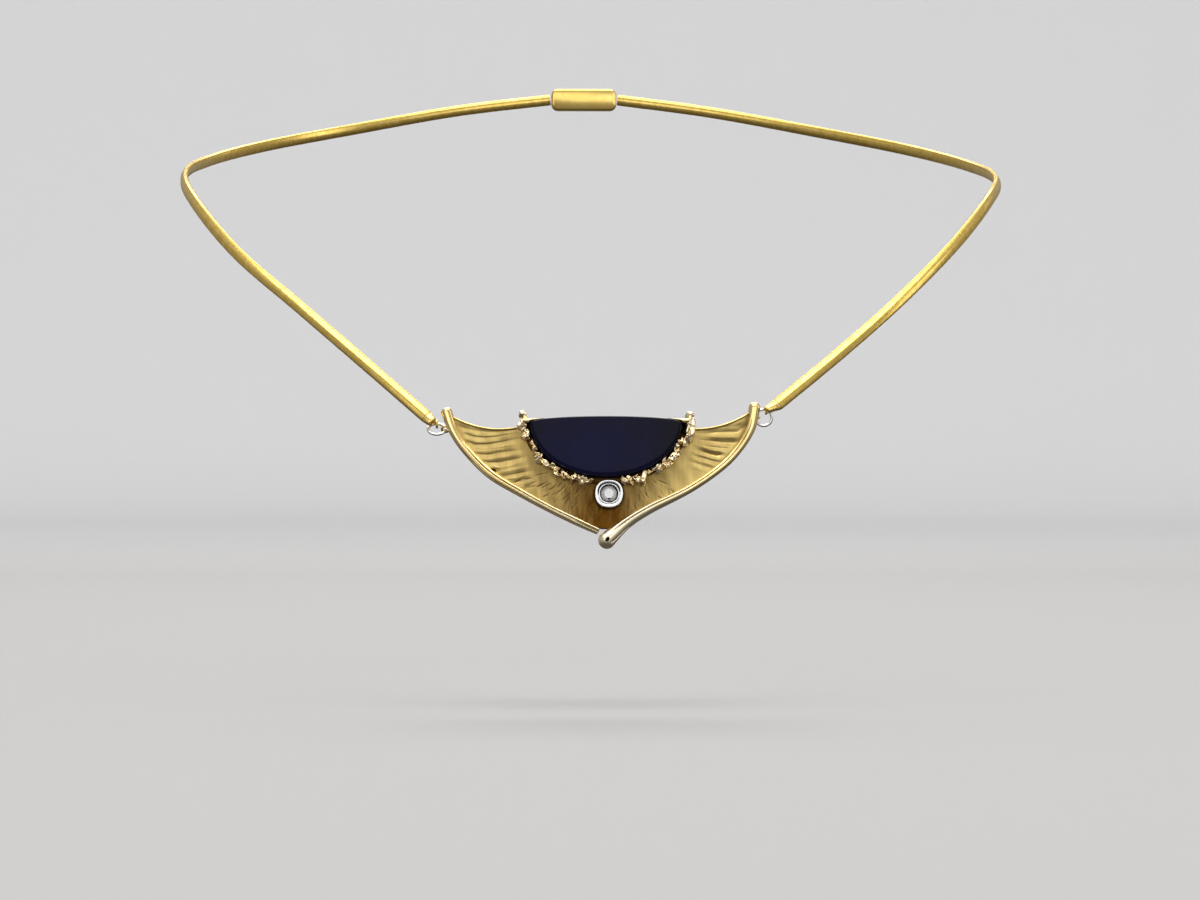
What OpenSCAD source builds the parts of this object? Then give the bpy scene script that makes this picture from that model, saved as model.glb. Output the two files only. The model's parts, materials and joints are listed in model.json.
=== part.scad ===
/* [Loop round the neck] */
// Width of the loop between the middles of the chain
loop_wide = 138; // [132:1:144]
// Depth of the loop from the clasp to the pendant
loop_deep = 123; // [118:1:128]

/* [Chain] */
// Width of the domed plates
chain_wide = 2; // [1.6:0.1:2.2]
// Thickness of the chain over the dome
chain_thick = 1.1; // [0.9:0.05:1.2]
// Gap between a chain's front end and its tip
end_gap = 0.08; // [0.05:0.01:0.15]
// Gap between a chain's back end and the clasp
clasp_gap = 0.3; // [0.26:0.01:0.35]

/* [Pendant] */
// How far the pendant's top line lies below the clasp
pendant_drop = 60; // [58:1:62]
// Angle by which the pendant leans back
pendant_lean = 5; // [0:1:8]
// Radius of the curve that takes the two wings back
wing_radius = 54; // [50:1:70]
// Thickness of the draped sheet
sheet_thick = 0.7; // [0.6:0.05:0.9]
// How far the sheet rises from the rims to the stone
sheet_rise = 0.6; // [0.4:0.05:0.8]
// Depth of the deepest pleat
pleat_depth = 0.42; // [0.2:0.02:0.5]

/* [Half-moon stone] */
// Half of the stone's width
stone_half = 11.75; // [11.5:0.05:12]
// Height of the stone below its two corners
stone_high = 8.4; // [8:0.1:8.6]
// Rise of the stone's top edge between its corners
stone_crown = 0.95; // [0.5:0.05:1.1]
// Thickness of the stone
stone_thick = 1.9; // [1.6:0.1:2.2]
// Width of the bevel round the flat face
stone_bevel = 0.45; // [0.3:0.05:0.6]
// Clearance between a stone and its metal
stone_gap = 0.06; // [0.04:0.01:0.1]

/* [Round diamond] */
// Outer diameter of the collet
collet_d = 4.55; // [4.4:0.05:4.6]
// Diameter of the stone at its girdle
diamond_d = 2.54; // [2.4:0.02:2.6]

/* [Jump rings] */
// Diameter of a ring's wire
ring_wire = 0.44; // [0.4:0.02:0.5]
// Diameter of the wire of the eyes that hold the rings
eye_wire = 0.4; // [0.36:0.02:0.44]
// Radius of the eyes, to the middle of the wire
eye_radius = 0.56; // [0.54:0.01:0.6]

/* [Clasp] */
// Length of the clasp round the nape
clasp_long = 12; // [10:1:14]
// Height of the clasp
clasp_high = 4; // [3:0.5:5]
// Thickness of the clasp
clasp_thick = 2.4; // [2:0.1:3]

/* [Hidden] */
$fn = 48;

yellow_gold = "goldenrod";
white_gold = "gainsboro";

// The loop seen from above is an ellipse, and its nape lies at the origin
loop_half = loop_wide / 2;
loop_mid = clasp_thick / 2 - loop_deep / 2;

// Points that each chain follows, from its front end to the clasp, and the angle by
// which its domed side looks up: [across, forward, up, look up]
left_route = [
    [-27.3, -118.4, -59.4, 30],
    [-37.0, -113.3, -51.0, 30],
    [-47.5, -106.0, -42.0, 30],
    [-58.0,  -95.4, -33.0, 28],
    [-65.8,  -81.0, -24.0, 22],
    [-69.0,  -62.0, -18.2, 15],
    [-66.3,  -43.0, -14.4, 10],
    [-57.4,  -25.5, -10.5,  6],
    [-42.4,  -11.5,  -6.5,  3],
    [-23.5,   -2.8,  -2.4,  0],
    [-(clasp_long / 2 + clasp_gap), clasp_thick / 2, 0, 0]
];
right_route = [
    [27.7, -118.1, -57.5, 30],
    [38.0, -112.5, -49.3, 30],
    [48.0, -105.6, -40.8, 30],
    [58.0,  -95.4, -31.3, 28],
    [65.2,  -82.5, -23.2, 22],
    [68.7,  -62.0, -18.6, 15],
    [66.2,  -43.0, -15.0, 10],
    [57.4,  -25.5, -11.0,  6],
    [42.4,  -11.5,  -6.8,  3],
    [23.5,   -2.8,  -2.6,  0],
    [clasp_long / 2 + clasp_gap, clasp_thick / 2, 0, 0]
];
chain_steps = 4;

// End of the tip that closes each chain, and the tip's width there
left_tip_end = [-26.2, -118.98, -60.4];
right_tip_end = [25.7, -118.9, -58.5];
left_tip_wide = 1.5;
right_tip_wide = 1.1;
tip_slice = 0.02;

// Jump rings: [centre, radius, lean of the ring, place of the tip's eye, place of the rim's eye]
left_link = [[-25.6, -118.6, -61.4], 1.35, 52, 90, 0];
right_link = [[25.5, -117.76, -59.6], 1.28, 0, 60, 180];

// Middle of each rolled rim from its upper end to the point of the pendant, in the
// pendant's own plane: [across, up, radius]
left_rim = [
    [-24.1,   1.6, 0.85],
    [-23.0,  -1.4, 0.78],
    [-21.0,  -4.5, 0.73],
    [-17.3,  -8.3, 0.74],
    [-12.7, -11.2, 0.68],
    [-8.0,  -13.8, 0.62],
    [-4.1,  -15.7, 0.64],
    [-0.6,  -17.3, 0.56]
];
right_rim = [
    [24.0,   2.2, 0.90],
    [23.4,  -0.9, 0.78],
    [21.6,  -4.1, 0.66],
    [18.7,  -7.2, 0.62],
    [13.7, -10.7, 0.64],
    [7.5,  -13.8, 0.78],
    [3.8,  -16.1, 0.90],
    [0.75, -18.75, 1.34]
];
rim_steps = 4;
rim_forward = 0.15;
rim_groove = 0.2;
// Angles of a rim's section, from the outer side over the front, and the groove's place
rim_angles = [0, 28, 56, 84, 100, 110, 120, 146, 180, 212, 244, 276, 308, 334];
rim_groove_at = 110;

// Lines of the drape from the stone's edge to the rims, round from the left wing to the
// right: [inner end across, up, outer end across, up, sag of the line]
drape_lines = [
    [-11.6, -0.7, -23.9,   1.3, 1.40],
    [-10.3, -3.3, -22.1,  -2.9, 0.45],
    [-8.8,  -5.4, -20.1,  -5.8, 0.50],
    [-7.5,  -6.8, -17.3,  -8.2, 0.20],
    [-5.4,  -8.0, -12.7, -11.2, 0],
    [-2.9,  -8.7, -7.6,  -14.0, 0],
    [0.7,   -9.0,  0.3,  -17.0, 0],
    [4.2,   -8.7,  6.2,  -14.6, 0],
    [6.8,   -8.1, 11.4,  -12.1, 0],
    [9.2,   -6.5, 17.0,   -8.7, 0.10],
    [11.0,  -4.5, 20.1,   -5.9, 0.15],
    [12.0,  -2.8, 22.1,   -3.4, 0.20],
    [13.0,  -1.2, 23.8,    1.9, 1.05]
];
// Valleys between the pleats: [place among the lines above, depth as a share]
pleat_valleys = [
    [0, 0.3], [0.3, 0.8], [0.62, 1], [1, 1], [1.4, 0.8], [1.7, 0.7], [2.05, 0.7], [2.5, 0.6], [3, 0.8],
    [3.35, 0.5], [4.3, 0.1], [5.6, 0.1], [6.9, 0.1], [8.1, 0.1], [9, 0.2],
    [9.6, 0.5], [10, 1], [10.4, 0.8], [10.75, 0.8], [11, 0.9], [11.35, 0.9], [11.65, 0.7], [12, 0.3]
];
pleat_steps = 4;
line_steps = [0, 0.12, 0.28, 0.46, 0.64, 0.82, 1];
sheet_front = 0.28;
// The middle of the pendant is flat as far as this on both sides
wing_flat = 6;

// The half-moon stone and its seat, which has a pocket behind
stone_at = [0.65, -0.55];
stone_arc_step = 7.5;
seat_back = -0.65;
seat_floor = 0.35;
seat_high = 0.9;
seat_front = 1.1;
seat_out = 1.45;
seat_in = 1.3;
seat_top = 0.05;
seat_corner = 0.35;

// Nuggets of the border: [across, up, long, wide, turn]
nuggets = [
    [-12.6,   0.4, 1.3, 0.8, 120], [-12.3, -1.0, 1.4, 1.1, 80], [-11.5, -2.0, 1.3, 0.7, 110],
    [-12.1,  -2.7, 1.0, 0.7, 20],  [-10.5, -4.0, 1.3, 0.7, 125], [-10.4, -5.0, 1.4, 0.7, 95],
    [-9.2,   -5.5, 1.2, 0.8, 160], [-9.9,  -6.3, 1.2, 0.8, 100], [-8.6,  -6.9, 1.3, 0.9, 140],
    [-7.2,   -7.5, 1.2, 0.7, 150], [-7.1,  -8.5, 1.1, 0.8, 120], [-6.1,  -8.8, 1.2, 0.7, 70],
    [-5.2,   -8.9, 1.1, 0.8, 130], [-4.4,  -9.4, 0.9, 0.6, 40],  [-3.9,  -8.9, 1.0, 0.7, 110],
    [-3.0,   -9.5, 1.3, 0.9, 75],  [-2.0,  -9.6, 1.1, 0.6, 20],
    [3.2,    -9.2, 1.2, 0.7, 110], [4.3,   -9.5, 1.3, 0.9, 120], [5.4,   -9.2, 1.1, 0.7, 140],
    [6.5,    -8.9, 1.9, 0.7, 86],  [7.6,   -7.9, 1.6, 0.5, 35],  [8.9,   -7.7, 1.2, 0.8, 100],
    [9.8,    -6.7, 1.5, 0.8, 60],  [10.7,  -6.9, 1.4, 0.8, 50],  [11.4,  -5.5, 1.5, 0.9, 50],
    [11.3,   -4.5, 0.9, 0.7, 90],  [12.2,  -3.4, 1.0, 0.7, 10],  [13.1,  -3.6, 1.1, 0.8, 65],
    [13.3,   -1.9, 2.1, 1.4, 80],  [14.6,  -0.5, 1.6, 0.8, 80],  [14.2,   0.5, 1.1, 0.9, 10]
];
// Sections of a nugget from its foot in the seat: [height over the seat, share of its size]
nugget_sections = [[-0.12, 0.7], [0.3, 1], [0.62, 0.88], [0.85, 0.45]];
nugget_lift = 0.2;
nugget_clear = 0.06;
nugget_far = 0.5;

// Collet of the round diamond, in the pendant's plane
collet_at = [1.1, -11.6];
collet_seat = 0.5;
collet_high = 1.95;
collet_back = -0.75;
collet_stem_r = 1.85;
groove_out = 1.8;
groove_in = 1.66;
groove_deep = 0.4;
lip_r = diamond_d / 2 - 0.05;
bore_r = diamond_d / 2 + stone_gap;
girdle_high = 1.35;

// Small helpers
function unit(v) = v / norm(v);
function xyz(row) = [row[0], row[1], row[2]];

// Smooth curve through the rows of a table, at place k counted in rows
function curve_between(a, b, c, d, t) =
    0.5 * (2 * b + (c - a) * t + (2 * a - 5 * b + 4 * c - d) * t * t
           + (3 * b - a - 3 * c + d) * t * t * t);
function row_at(rows, k) =
    let (last = len(rows) - 1, i = max(0, min(floor(k), last - 1)), t = k - i)
    curve_between(rows[max(i - 1, 0)], rows[i], rows[i + 1], rows[min(i + 2, last)], t);
function steps_along(rows, per_row) =
    [for (n = [0 : (len(rows) - 1) * per_row]) n / per_row];

// A chain's direction, the way that its domed side looks, and its width's direction
function along(route, k) =
    let (last = len(route) - 1)
    unit(xyz(row_at(route, min(k + 0.02, last))) - xyz(row_at(route, max(k - 0.02, 0))));
function domed_way(route, k) =
    let (row = row_at(route, k), t = along(route, k),
         level = unit([row[0] / pow(loop_half, 2), (row[1] - loop_mid) / pow(loop_deep / 2, 2), 0]),
         raised = level * cos(row[3]) + [0, 0, sin(row[3])])
    unit(raised - (raised * t) * t);
function wide_way(route, k) = cross(domed_way(route, k), along(route, k));

// Section of the chain: a flat back with rounded edges under a low dome
function chain_section(wide) =
    let (half = wide / 2, back = -chain_thick * 0.45, dome = chain_thick * 0.55)
    concat([for (a = [0 : 30 : 180]) [half * cos(a), dome * sin(a)]],
           [[-half, back * 0.5], [-half * 0.8, back], [half * 0.8, back], [half, back * 0.5]]);
function chain_ring(route, k, middle, wide) =
    [for (p = chain_section(wide))
        middle + p[0] * wide_way(route, k) + p[1] * domed_way(route, k)];

// Solid through a list of rings that all have the same number of points
module loft(rings) {
    n = len(rings[0]);
    last = len(rings) - 1;
    sides = [for (i = [0 : last - 1], j = [0 : n - 1], half = [0, 1])
        let (a = i * n + j, b = i * n + (j + 1) % n, c = a + n, d = b + n)
        half == 0 ? [a, c, b] : [b, c, d]];
    ends = [[for (j = [0 : n - 1]) j], [for (j = [n - 1 : -1 : 0]) last * n + j]];
    polyhedron(points = [for (ring = rings, p = ring) p], faces = concat(sides, ends));
}

// Moves the pendant's own plane, x across, y up and z to the front, to its place
module on_pendant() {
    translate([0, clasp_thick / 2 - loop_deep, -pendant_drop])
        rotate([90 - pendant_lean, 0, 0])
            children();
}
function pendant_point(p) =
    [p[0],
     clasp_thick / 2 - loop_deep + p[1] * sin(pendant_lean) - p[2] * cos(pendant_lean),
     -pendant_drop + p[1] * cos(pendant_lean) + p[2] * sin(pendant_lean)];
function wing_back(x) = -pow(max(0, abs(x) - wing_flat), 2) / (2 * wing_radius);

// Rolled rims
function rim_radius(a) = a == rim_groove_at ? 1 - rim_groove : 1;
function rim_direction(rim, k) =
    let (last = len(rim) - 1, d = row_at(rim, min(k + 0.02, last)) - row_at(rim, max(k - 0.02, 0)))
    unit([d[0], d[1]]);
function rim_ring(rim, side, k, middle, radius) =
    let (d = rim_direction(rim, k), out = side * [-d[1], d[0]])
    [for (a = rim_angles)
        let (r = radius * rim_radius(a))
        [middle[0] + r * cos(a) * out[0], middle[1] + r * cos(a) * out[1], middle[2] + r * sin(a)]];
function rim_middle(row) = [row[0], row[1], wing_back(row[0]) + rim_forward];
function turned(ring) = [for (i = [len(ring) - 1 : -1 : 0]) ring[i]];

// Rings of a rounded end past place k: the share of the radius at each share of its length
round_end = [[0.45, 0.88], [0.8, 0.6], [0.97, 0.25]];
function end_rings(rim, side, k, forward) =
    [for (step = round_end)
        let (row = row_at(rim, k), d = rim_direction(rim, k), m = rim_middle(row),
             reach = forward * step[0] * row[2])
        rim_ring(rim, side, k, [m[0] + reach * d[0], m[1] + reach * d[1], m[2]], row[2] * step[1])];
function rim_rings(rim, side) =
    [for (k = steps_along(rim, rim_steps))
        let (row = row_at(rim, k))
        rim_ring(rim, side, k, rim_middle(row), row[2])];

module left_rolled_rim() {
    loft([for (ring = rim_rings(left_rim, -1)) turned(ring)]);
}

module right_rolled_rim() {
    upper = turned(end_rings(right_rim, 1, 0, -1));
    lower = end_rings(right_rim, 1, len(right_rim) - 1, 1);
    mouth = rim_middle(right_rim[len(right_rim) - 1]);
    difference() {
        loft(concat(upper, rim_rings(right_rim, 1), lower));
        translate(mouth + [0.1, 0, 0.6])
            cylinder(h = 2, r = 0.3, $fn = 12);
    }
}

// Draped sheet: places round the drape where its columns stand, four to a pleat
valley_places = [for (v = pleat_valleys) v[0]];
valley_counts = [for (i = [0 : len(pleat_valleys) - 1]) [valley_places[i], i]];
drape_places = concat(
    [for (i = [0 : len(pleat_valleys) - 2], n = [0 : pleat_steps - 1])
        valley_places[i] + (valley_places[i + 1] - valley_places[i]) * n / pleat_steps],
    [valley_places[len(pleat_valleys) - 1]]);
function pleat(place) =
    let (count = lookup(place, valley_counts), share = lookup(place, pleat_valleys))
    -pleat_depth * share * (1 - abs(sin(180 * count)));
function pleat_fade(t) = lookup(t, [[0, 0], [0.15, 0.3], [0.5, 1], [0.9, 1], [1, 0.6]]);
function sheet_point(place, t, under) =
    let (line = row_at(drape_lines, place),
         x = line[0] + (line[2] - line[0]) * t,
         y = line[1] + (line[3] - line[1]) * t - line[4] * 4 * t * (1 - t),
         z = wing_back(x) + sheet_front + sheet_rise * pow(1 - t, 2) + pleat(place) * pleat_fade(t))
    [x, y, z - under];

module draped_sheet() {
    m = len(line_steps);
    n = len(drape_places);
    front = [for (place = drape_places, t = line_steps) sheet_point(place, t, 0)];
    back = [for (place = drape_places, t = line_steps) sheet_point(place, t, sheet_thick)];
    under = m * n;
    cells = [for (i = [0 : n - 2], j = [0 : m - 2], half = [0, 1])
        let (a = i * m + j, b = a + 1, c = a + m, d = c + 1)
        half == 0 ? [a, c, b] : [b, c, d]];
    rim_line = concat([for (j = [0 : m - 1]) j],
                      [for (i = [1 : n - 1]) i * m + m - 1],
                      [for (j = [m - 2 : -1 : 0]) (n - 1) * m + j],
                      [for (i = [n - 2 : -1 : 1]) i * m]);
    edge = [for (i = [0 : len(rim_line) - 1], half = [0, 1])
        let (a = rim_line[i], b = rim_line[(i + 1) % len(rim_line)])
        half == 0 ? [a, b, under + b] : [a, under + b, under + a]];
    polyhedron(points = concat(front, back),
               faces = concat(cells, [for (f = cells) [under + f[2], under + f[1], under + f[0]]], edge));
}

// Outline of the half-moon, grown by a given width
function half_moon_arc(grow) =
    [for (a = [180 : stone_arc_step : 360])
        stone_at + [(stone_half + grow) * cos(a), (stone_high + grow) * sin(a)]];
function half_moon(grow) =
    concat(half_moon_arc(grow),
           [for (a = [stone_arc_step : stone_arc_step : 180 - stone_arc_step])
               stone_at + [(stone_half + grow) * cos(a), (stone_crown + grow) * sin(a)]]);
function seat_outline() =
    concat(half_moon_arc(seat_out),
           [for (side = [1, -1], p = side > 0 ? [[seat_out, seat_corner], [0.2, seat_corner], [-0.6, seat_top]]
                                              : [[-0.6, seat_top], [0.2, seat_corner], [seat_out, seat_corner]])
               [stone_at[0] + side * (stone_half + p[0]), p[1]]]);

module stone_seat() {
    difference() {
        translate([0, 0, seat_back])
            linear_extrude(seat_front - seat_back)
                polygon(seat_outline());
        translate([0, 0, seat_back - 1])
            linear_extrude(seat_floor - seat_back + 1)
                polygon(half_moon_arc(-seat_in));
        translate([0, 0, seat_high])
            linear_extrude(stone_thick)
                polygon(half_moon(stone_gap));
    }
}

// Moves a point along its ray from the stone's middle until it lies between two outlines
function from_stone(p) = [p[0], p[1]] - stone_at;
function off_stone(p, near, far) =
    let (q = from_stone(p),
         in = norm([q[0] / (stone_half + near), q[1] / (stone_high + near)]),
         out = norm([q[0] / (stone_half + far), q[1] / (stone_high + far)]))
    stone_at + q * (in < 1 ? 1 / in : out > 1 ? 1 / out : 1);

// How far a nugget reaches from its middle towards the stone
function reach_in(row) =
    let (q = from_stone(row), way = unit([q[0] / pow(stone_half, 2), q[1] / pow(stone_high, 2)]),
         long_way = [cos(row[4]), sin(row[4])])
    norm([row[2] / 2 * (long_way * way), row[3] / 2 * cross(long_way, way)]);

module nugget(row, count) {
    at = off_stone(row, reach_in(row) + stone_gap + nugget_clear, seat_out - nugget_far);
    lift = 1 + nugget_lift * sin(count * 77);
    translate([at[0], at[1], seat_front])
        rotate(row[4])
            loft([for (i = [0 : len(nugget_sections) - 1])
                let (share = nugget_sections[i][1], high = nugget_sections[i][0] * lift)
                [for (n = [0 : 5])
                    let (a = 60 * n + 11 * i + count * 17)
                    [share * row[2] / 2 * cos(a), share * row[3] / 2 * sin(a), high]]]);
}

// Ring round z turned so that it leans back about the x axis by a given angle
function link_point(link, a) =
    link[0] + link[1] * [cos(a), sin(a) * sin(link[2]), sin(a) * cos(link[2])];
module wire_ring(radius, wire) {
    rotate_extrude()
        translate([radius, 0])
            circle(d = wire);
}
// An eye round the wire of a jump ring, at angle a of that ring, with a peg to its root
module ring_eye(link, a, root) {
    middle = link_point(link, a);
    translate(link[0])
        rotate([90 - link[2], 0, 0])
            rotate([0, 0, a])
                translate([link[1], 0, 0])
                    rotate([90, 0, 0])
                        wire_ring(eye_radius, eye_wire);
    near = middle + unit(root - middle) * eye_radius;
    peg(near, root, eye_wire);
}
module peg(from, to, thick) {
    way = to - from;
    translate(from)
        rotate([0, acos(way[2] / norm(way)), atan2(way[1], way[0])])
            cylinder(h = norm(way), d = thick);
}

module drape() {
    color(yellow_gold)
        union() {
            on_pendant() {
                difference() {
                    union() {
                        draped_sheet();
                        stone_seat();
                    }
                    translate([collet_at[0], collet_at[1], collet_back - 1])
                        cylinder(h = 5, r = collet_stem_r + stone_gap, $fn = 28);
                    translate([collet_at[0], collet_at[1], collet_seat - stone_gap])
                        cylinder(h = 5, r = collet_d / 2 + stone_gap, $fn = 28);
                }
                left_rolled_rim();
                right_rolled_rim();
                for (i = [0 : len(nuggets) - 1])
                    nugget(nuggets[i], i);
            }
            ring_eye(left_link, left_link[4], pendant_point(rim_middle(row_at(left_rim, 0.95))), $fn = 10);
            ring_eye(right_link, right_link[4], pendant_point(rim_middle(row_at(right_rim, 0.55))), $fn = 10);
        }
}

module half_moon_stone() {
    low = seat_high + stone_gap;
    color("midnightblue")
        on_pendant()
            hull() {
                translate([0, 0, low])
                    linear_extrude(stone_thick - stone_bevel)
                        polygon(half_moon(0));
                translate([0, 0, low])
                    linear_extrude(stone_thick)
                        polygon(half_moon(-stone_bevel));
            }
}

module diamond_setting() {
    r = collet_d / 2;
    color(white_gold)
        on_pendant()
            translate([collet_at[0], collet_at[1], 0])
                rotate_extrude()
                    polygon([
                        [bore_r, collet_back], [collet_stem_r, collet_back], [collet_stem_r, collet_seat],
                        [r, collet_seat], [r, collet_high - 0.25], [r - 0.1, collet_high - 0.07],
                        [r - 0.25, collet_high], [groove_out + 0.05, collet_high - 0.03],
                        [groove_out, collet_high - groove_deep], [groove_in, collet_high - groove_deep],
                        [groove_in - 0.04, collet_high - 0.1], [lip_r + 0.2, collet_high - 0.08],
                        [lip_r, collet_high - 0.3], [lip_r, girdle_high + 0.15],
                        [bore_r, girdle_high + 0.1]
                    ]);
}

module diamond() {
    r = diamond_d / 2;
    color("white")
        on_pendant()
            translate([collet_at[0], collet_at[1], girdle_high])
                hull() {
                    linear_extrude(0.05)
                        circle(r = r, $fn = 16);
                    translate([0, 0, 0.42])
                        linear_extrude(0.01)
                            rotate(22.5)
                                circle(r = r * 0.57, $fn = 8);
                    translate([0, 0, -1.05])
                        linear_extrude(0.01)
                            circle(r = 0.04, $fn = 8);
                }
}

module jump_ring(link) {
    color(white_gold)
        translate(link[0])
            rotate([90 - link[2], 0, 0])
                wire_ring(link[1], ring_wire);
}
module left_ring() {
    jump_ring(left_link);
}
module right_ring() {
    jump_ring(right_link);
}

module tip(route, tip_end, tip_wide, link) {
    start = xyz(route[0]) - along(route, 0) * end_gap;
    back = -domed_way(route, 0) * chain_thick * 0.1;
    color(yellow_gold)
        union() {
            hull() {
                loft([chain_ring(route, 0, start - along(route, 0) * tip_slice, chain_wide),
                      chain_ring(route, 0, start, chain_wide)]);
                loft([chain_ring(route, 0, tip_end, tip_wide),
                      chain_ring(route, 0, tip_end + along(route, 0) * tip_slice, tip_wide)]);
            }
            ring_eye(link, link[3], (start + tip_end * 2) / 3 + back, $fn = 48);
        }
}
module left_tip() {
    tip(left_route, left_tip_end, left_tip_wide, left_link);
}
module right_tip() {
    tip(right_route, right_tip_end, right_tip_wide, right_link);
}

module chain(route) {
    color(yellow_gold)
        loft([for (k = steps_along(route, chain_steps))
            chain_ring(route, k, xyz(row_at(route, k)), chain_wide)]);
}
module left_chain() {
    chain(left_route);
}
module right_chain() {
    chain(right_route);
}

module clasp() {
    corner = clasp_high * 0.3;
    color(yellow_gold)
        rotate([-90, 0, 0])
            linear_extrude(clasp_thick) {
                square([clasp_long, clasp_high - 2 * corner], center = true);
                square([clasp_long - 2 * corner, clasp_high], center = true);
                for (x = [-1, 1], y = [-1, 1])
                    translate([x * (clasp_long / 2 - corner), y * (clasp_high / 2 - corner)])
                        circle(r = corner);
            }
}

drape();
half_moon_stone();
diamond_setting();
diamond();
left_ring();
right_ring();
left_tip();
right_tip();
left_chain();
right_chain();
clasp();
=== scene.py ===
# Gold necklace with a pleated pendant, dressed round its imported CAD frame
import json
import random
from math import cos, hypot, pi, radians, sin, sqrt, tan

import bmesh
import bpy
import numpy as np
from mathutils import Matrix, Vector

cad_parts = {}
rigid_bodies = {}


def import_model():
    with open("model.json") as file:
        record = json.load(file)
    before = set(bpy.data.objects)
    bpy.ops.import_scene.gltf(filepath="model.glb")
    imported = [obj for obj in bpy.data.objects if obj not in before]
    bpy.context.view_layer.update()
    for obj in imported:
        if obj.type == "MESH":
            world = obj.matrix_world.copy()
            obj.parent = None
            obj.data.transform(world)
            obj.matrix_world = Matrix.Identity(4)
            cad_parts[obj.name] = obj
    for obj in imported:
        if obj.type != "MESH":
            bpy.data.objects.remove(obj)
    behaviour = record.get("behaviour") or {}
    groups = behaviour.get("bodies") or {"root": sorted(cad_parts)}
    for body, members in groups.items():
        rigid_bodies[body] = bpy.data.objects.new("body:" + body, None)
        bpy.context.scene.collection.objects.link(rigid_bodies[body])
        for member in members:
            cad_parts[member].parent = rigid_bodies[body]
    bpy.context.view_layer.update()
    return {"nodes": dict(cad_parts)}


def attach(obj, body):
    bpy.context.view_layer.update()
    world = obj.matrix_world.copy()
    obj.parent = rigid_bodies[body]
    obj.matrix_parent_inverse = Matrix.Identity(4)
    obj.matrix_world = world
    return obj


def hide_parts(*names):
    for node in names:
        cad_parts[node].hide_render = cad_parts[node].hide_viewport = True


mm = 0.001
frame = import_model()
print("frame loaded with", len(frame["nodes"]), "nodes")


def unit(v):
    v = np.asarray(v, float)
    return v / np.linalg.norm(v, axis=-1, keepdims=True)


def rowAt(rows, k):
    # smooth curve through the rows of a table, k counted in rows
    rows = np.asarray(rows, float)
    last = len(rows) - 1
    i = max(0, min(int(k), last - 1))
    t = k - i
    a, b, c, d = rows[max(i - 1, 0)], rows[i], rows[i + 1], rows[min(i + 2, last)]
    return 0.5 * (2 * b + (c - a) * t + (2 * a - 5 * b + 4 * c - d) * t * t
                  + (3 * b - a - 3 * c + d) * t * t * t)


def runAt(rows, k, n):
    # which way the curve runs there, in its first n values
    ahead, behind = rowAt(rows, min(k + 0.02, len(rows) - 1)), rowAt(rows, max(k - 0.02, 0))
    return unit((ahead - behind)[:n])


def bell(x, width):
    return np.exp(-(np.asarray(x, float) / width) ** 2)


def ease(x, low, high):
    t = np.clip((np.asarray(x, float) - low) / (high - low), 0, 1)
    return t * t * (3 - 2 * t)


# The pendant has its own plane: x across, y up and z to the front, in millimetres
pendant = {
    "loopDeep": 123.0,
    "claspThick": 2.4,
    "drop": 60.0,
    "lean": 5.0,
    "wingRadius": 54.0,
    "wingFlat": 6.0,
    "photoMiddle": (601.5, 420.0),  # where the plane's zero shows in the photograph
    "photoScale": 0.1553,           # millimetres for one of its pixels there
}


def onPendant(p):
    p = np.asarray(p, float)
    lean = radians(pendant["lean"])
    x, y, z = p[..., 0], p[..., 1], p[..., 2]
    front = pendant["claspThick"] / 2 - pendant["loopDeep"]
    return np.stack([x, front + y * sin(lean) - z * cos(lean),
                     -pendant["drop"] + y * cos(lean) + z * sin(lean)], -1)


def wingBack(x):
    over = np.maximum(0, np.abs(np.asarray(x, float)) - pendant["wingFlat"])
    return -over ** 2 / (2 * pendant["wingRadius"])


def seenAt(across, down):
    # a place in the photograph, in the pendant's plane
    a, b = pendant["photoMiddle"]
    return ((across - a) * pendant["photoScale"], (b - down) * pendant["photoScale"])


def inScene(obj):
    bpy.context.scene.collection.objects.link(obj)
    return obj


def around(n):
    # the angles of n even steps round a circle
    return [2 * pi * j / n for j in range(n)]


def makeMesh(name, points, faces, smooth=True, edges=()):
    # points in millimetres, in the row frame
    mesh = bpy.data.meshes.new(name)
    mesh.from_pydata([tuple(p) for p in np.asarray(points, float) * mm], list(edges), faces)
    mesh.validate()
    mesh.update()
    mesh.polygons.foreach_set("use_smooth", [smooth] * len(mesh.polygons))
    return inScene(bpy.data.objects.new(name, mesh))


class Builder:
    # collects several lofts into one mesh
    def __init__(self):
        self.points, self.faces = [], []

    def loft(self, rings, closed=False):
        # faces look out where each ring turns left about the way that the rings go
        first, n, count = len(self.points), len(rings[0]), len(rings)
        for ring in rings:
            self.points += [list(p) for p in ring]
        for i in range(count if closed else count - 1):
            a, b = first + i * n, first + (i + 1) % count * n
            self.faces += [(a + j, a + (j + 1) % n, b + (j + 1) % n, b + j) for j in range(n)]
        if not closed:
            self.faces.append(tuple(range(first + n - 1, first - 1, -1)))
            self.faces.append(tuple(range(first + (count - 1) * n, first + count * n)))
        return self

    def object(self, name):
        return makeMesh(name, self.points, self.faces)

    def piece(self, name, *finish):
        return ownPiece(self.object(name), *finish)


def circle(middle, side, up, radius, n):
    return [middle + radius * (cos(a) * side + sin(a) * up) for a in around(n)]


def acrossWay(way):
    side = unit(np.cross(way, (0.31, 0.2, 0.93)))  # any way that no tube here runs along
    return side, np.cross(way, side)


def tubeRing(middle, way, radius, n):
    return circle(middle, *acrossWay(unit(way)), radius, n)


def torusRings(centre, axis, radius, wire, steps, n):
    axis = unit(axis)
    return [circle(np.array(centre) + radius * out, out, -axis, wire / 2, n)
            for out in circle(np.zeros(3), *acrossWay(axis), 1, steps)]


def ownPiece(obj, material, slotName, *nodes):
    if material is not None:
        obj.data.materials.clear()
        obj.data.materials.append(material)
    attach(obj, "root")
    if nodes:
        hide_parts(*nodes)
    return obj


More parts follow.
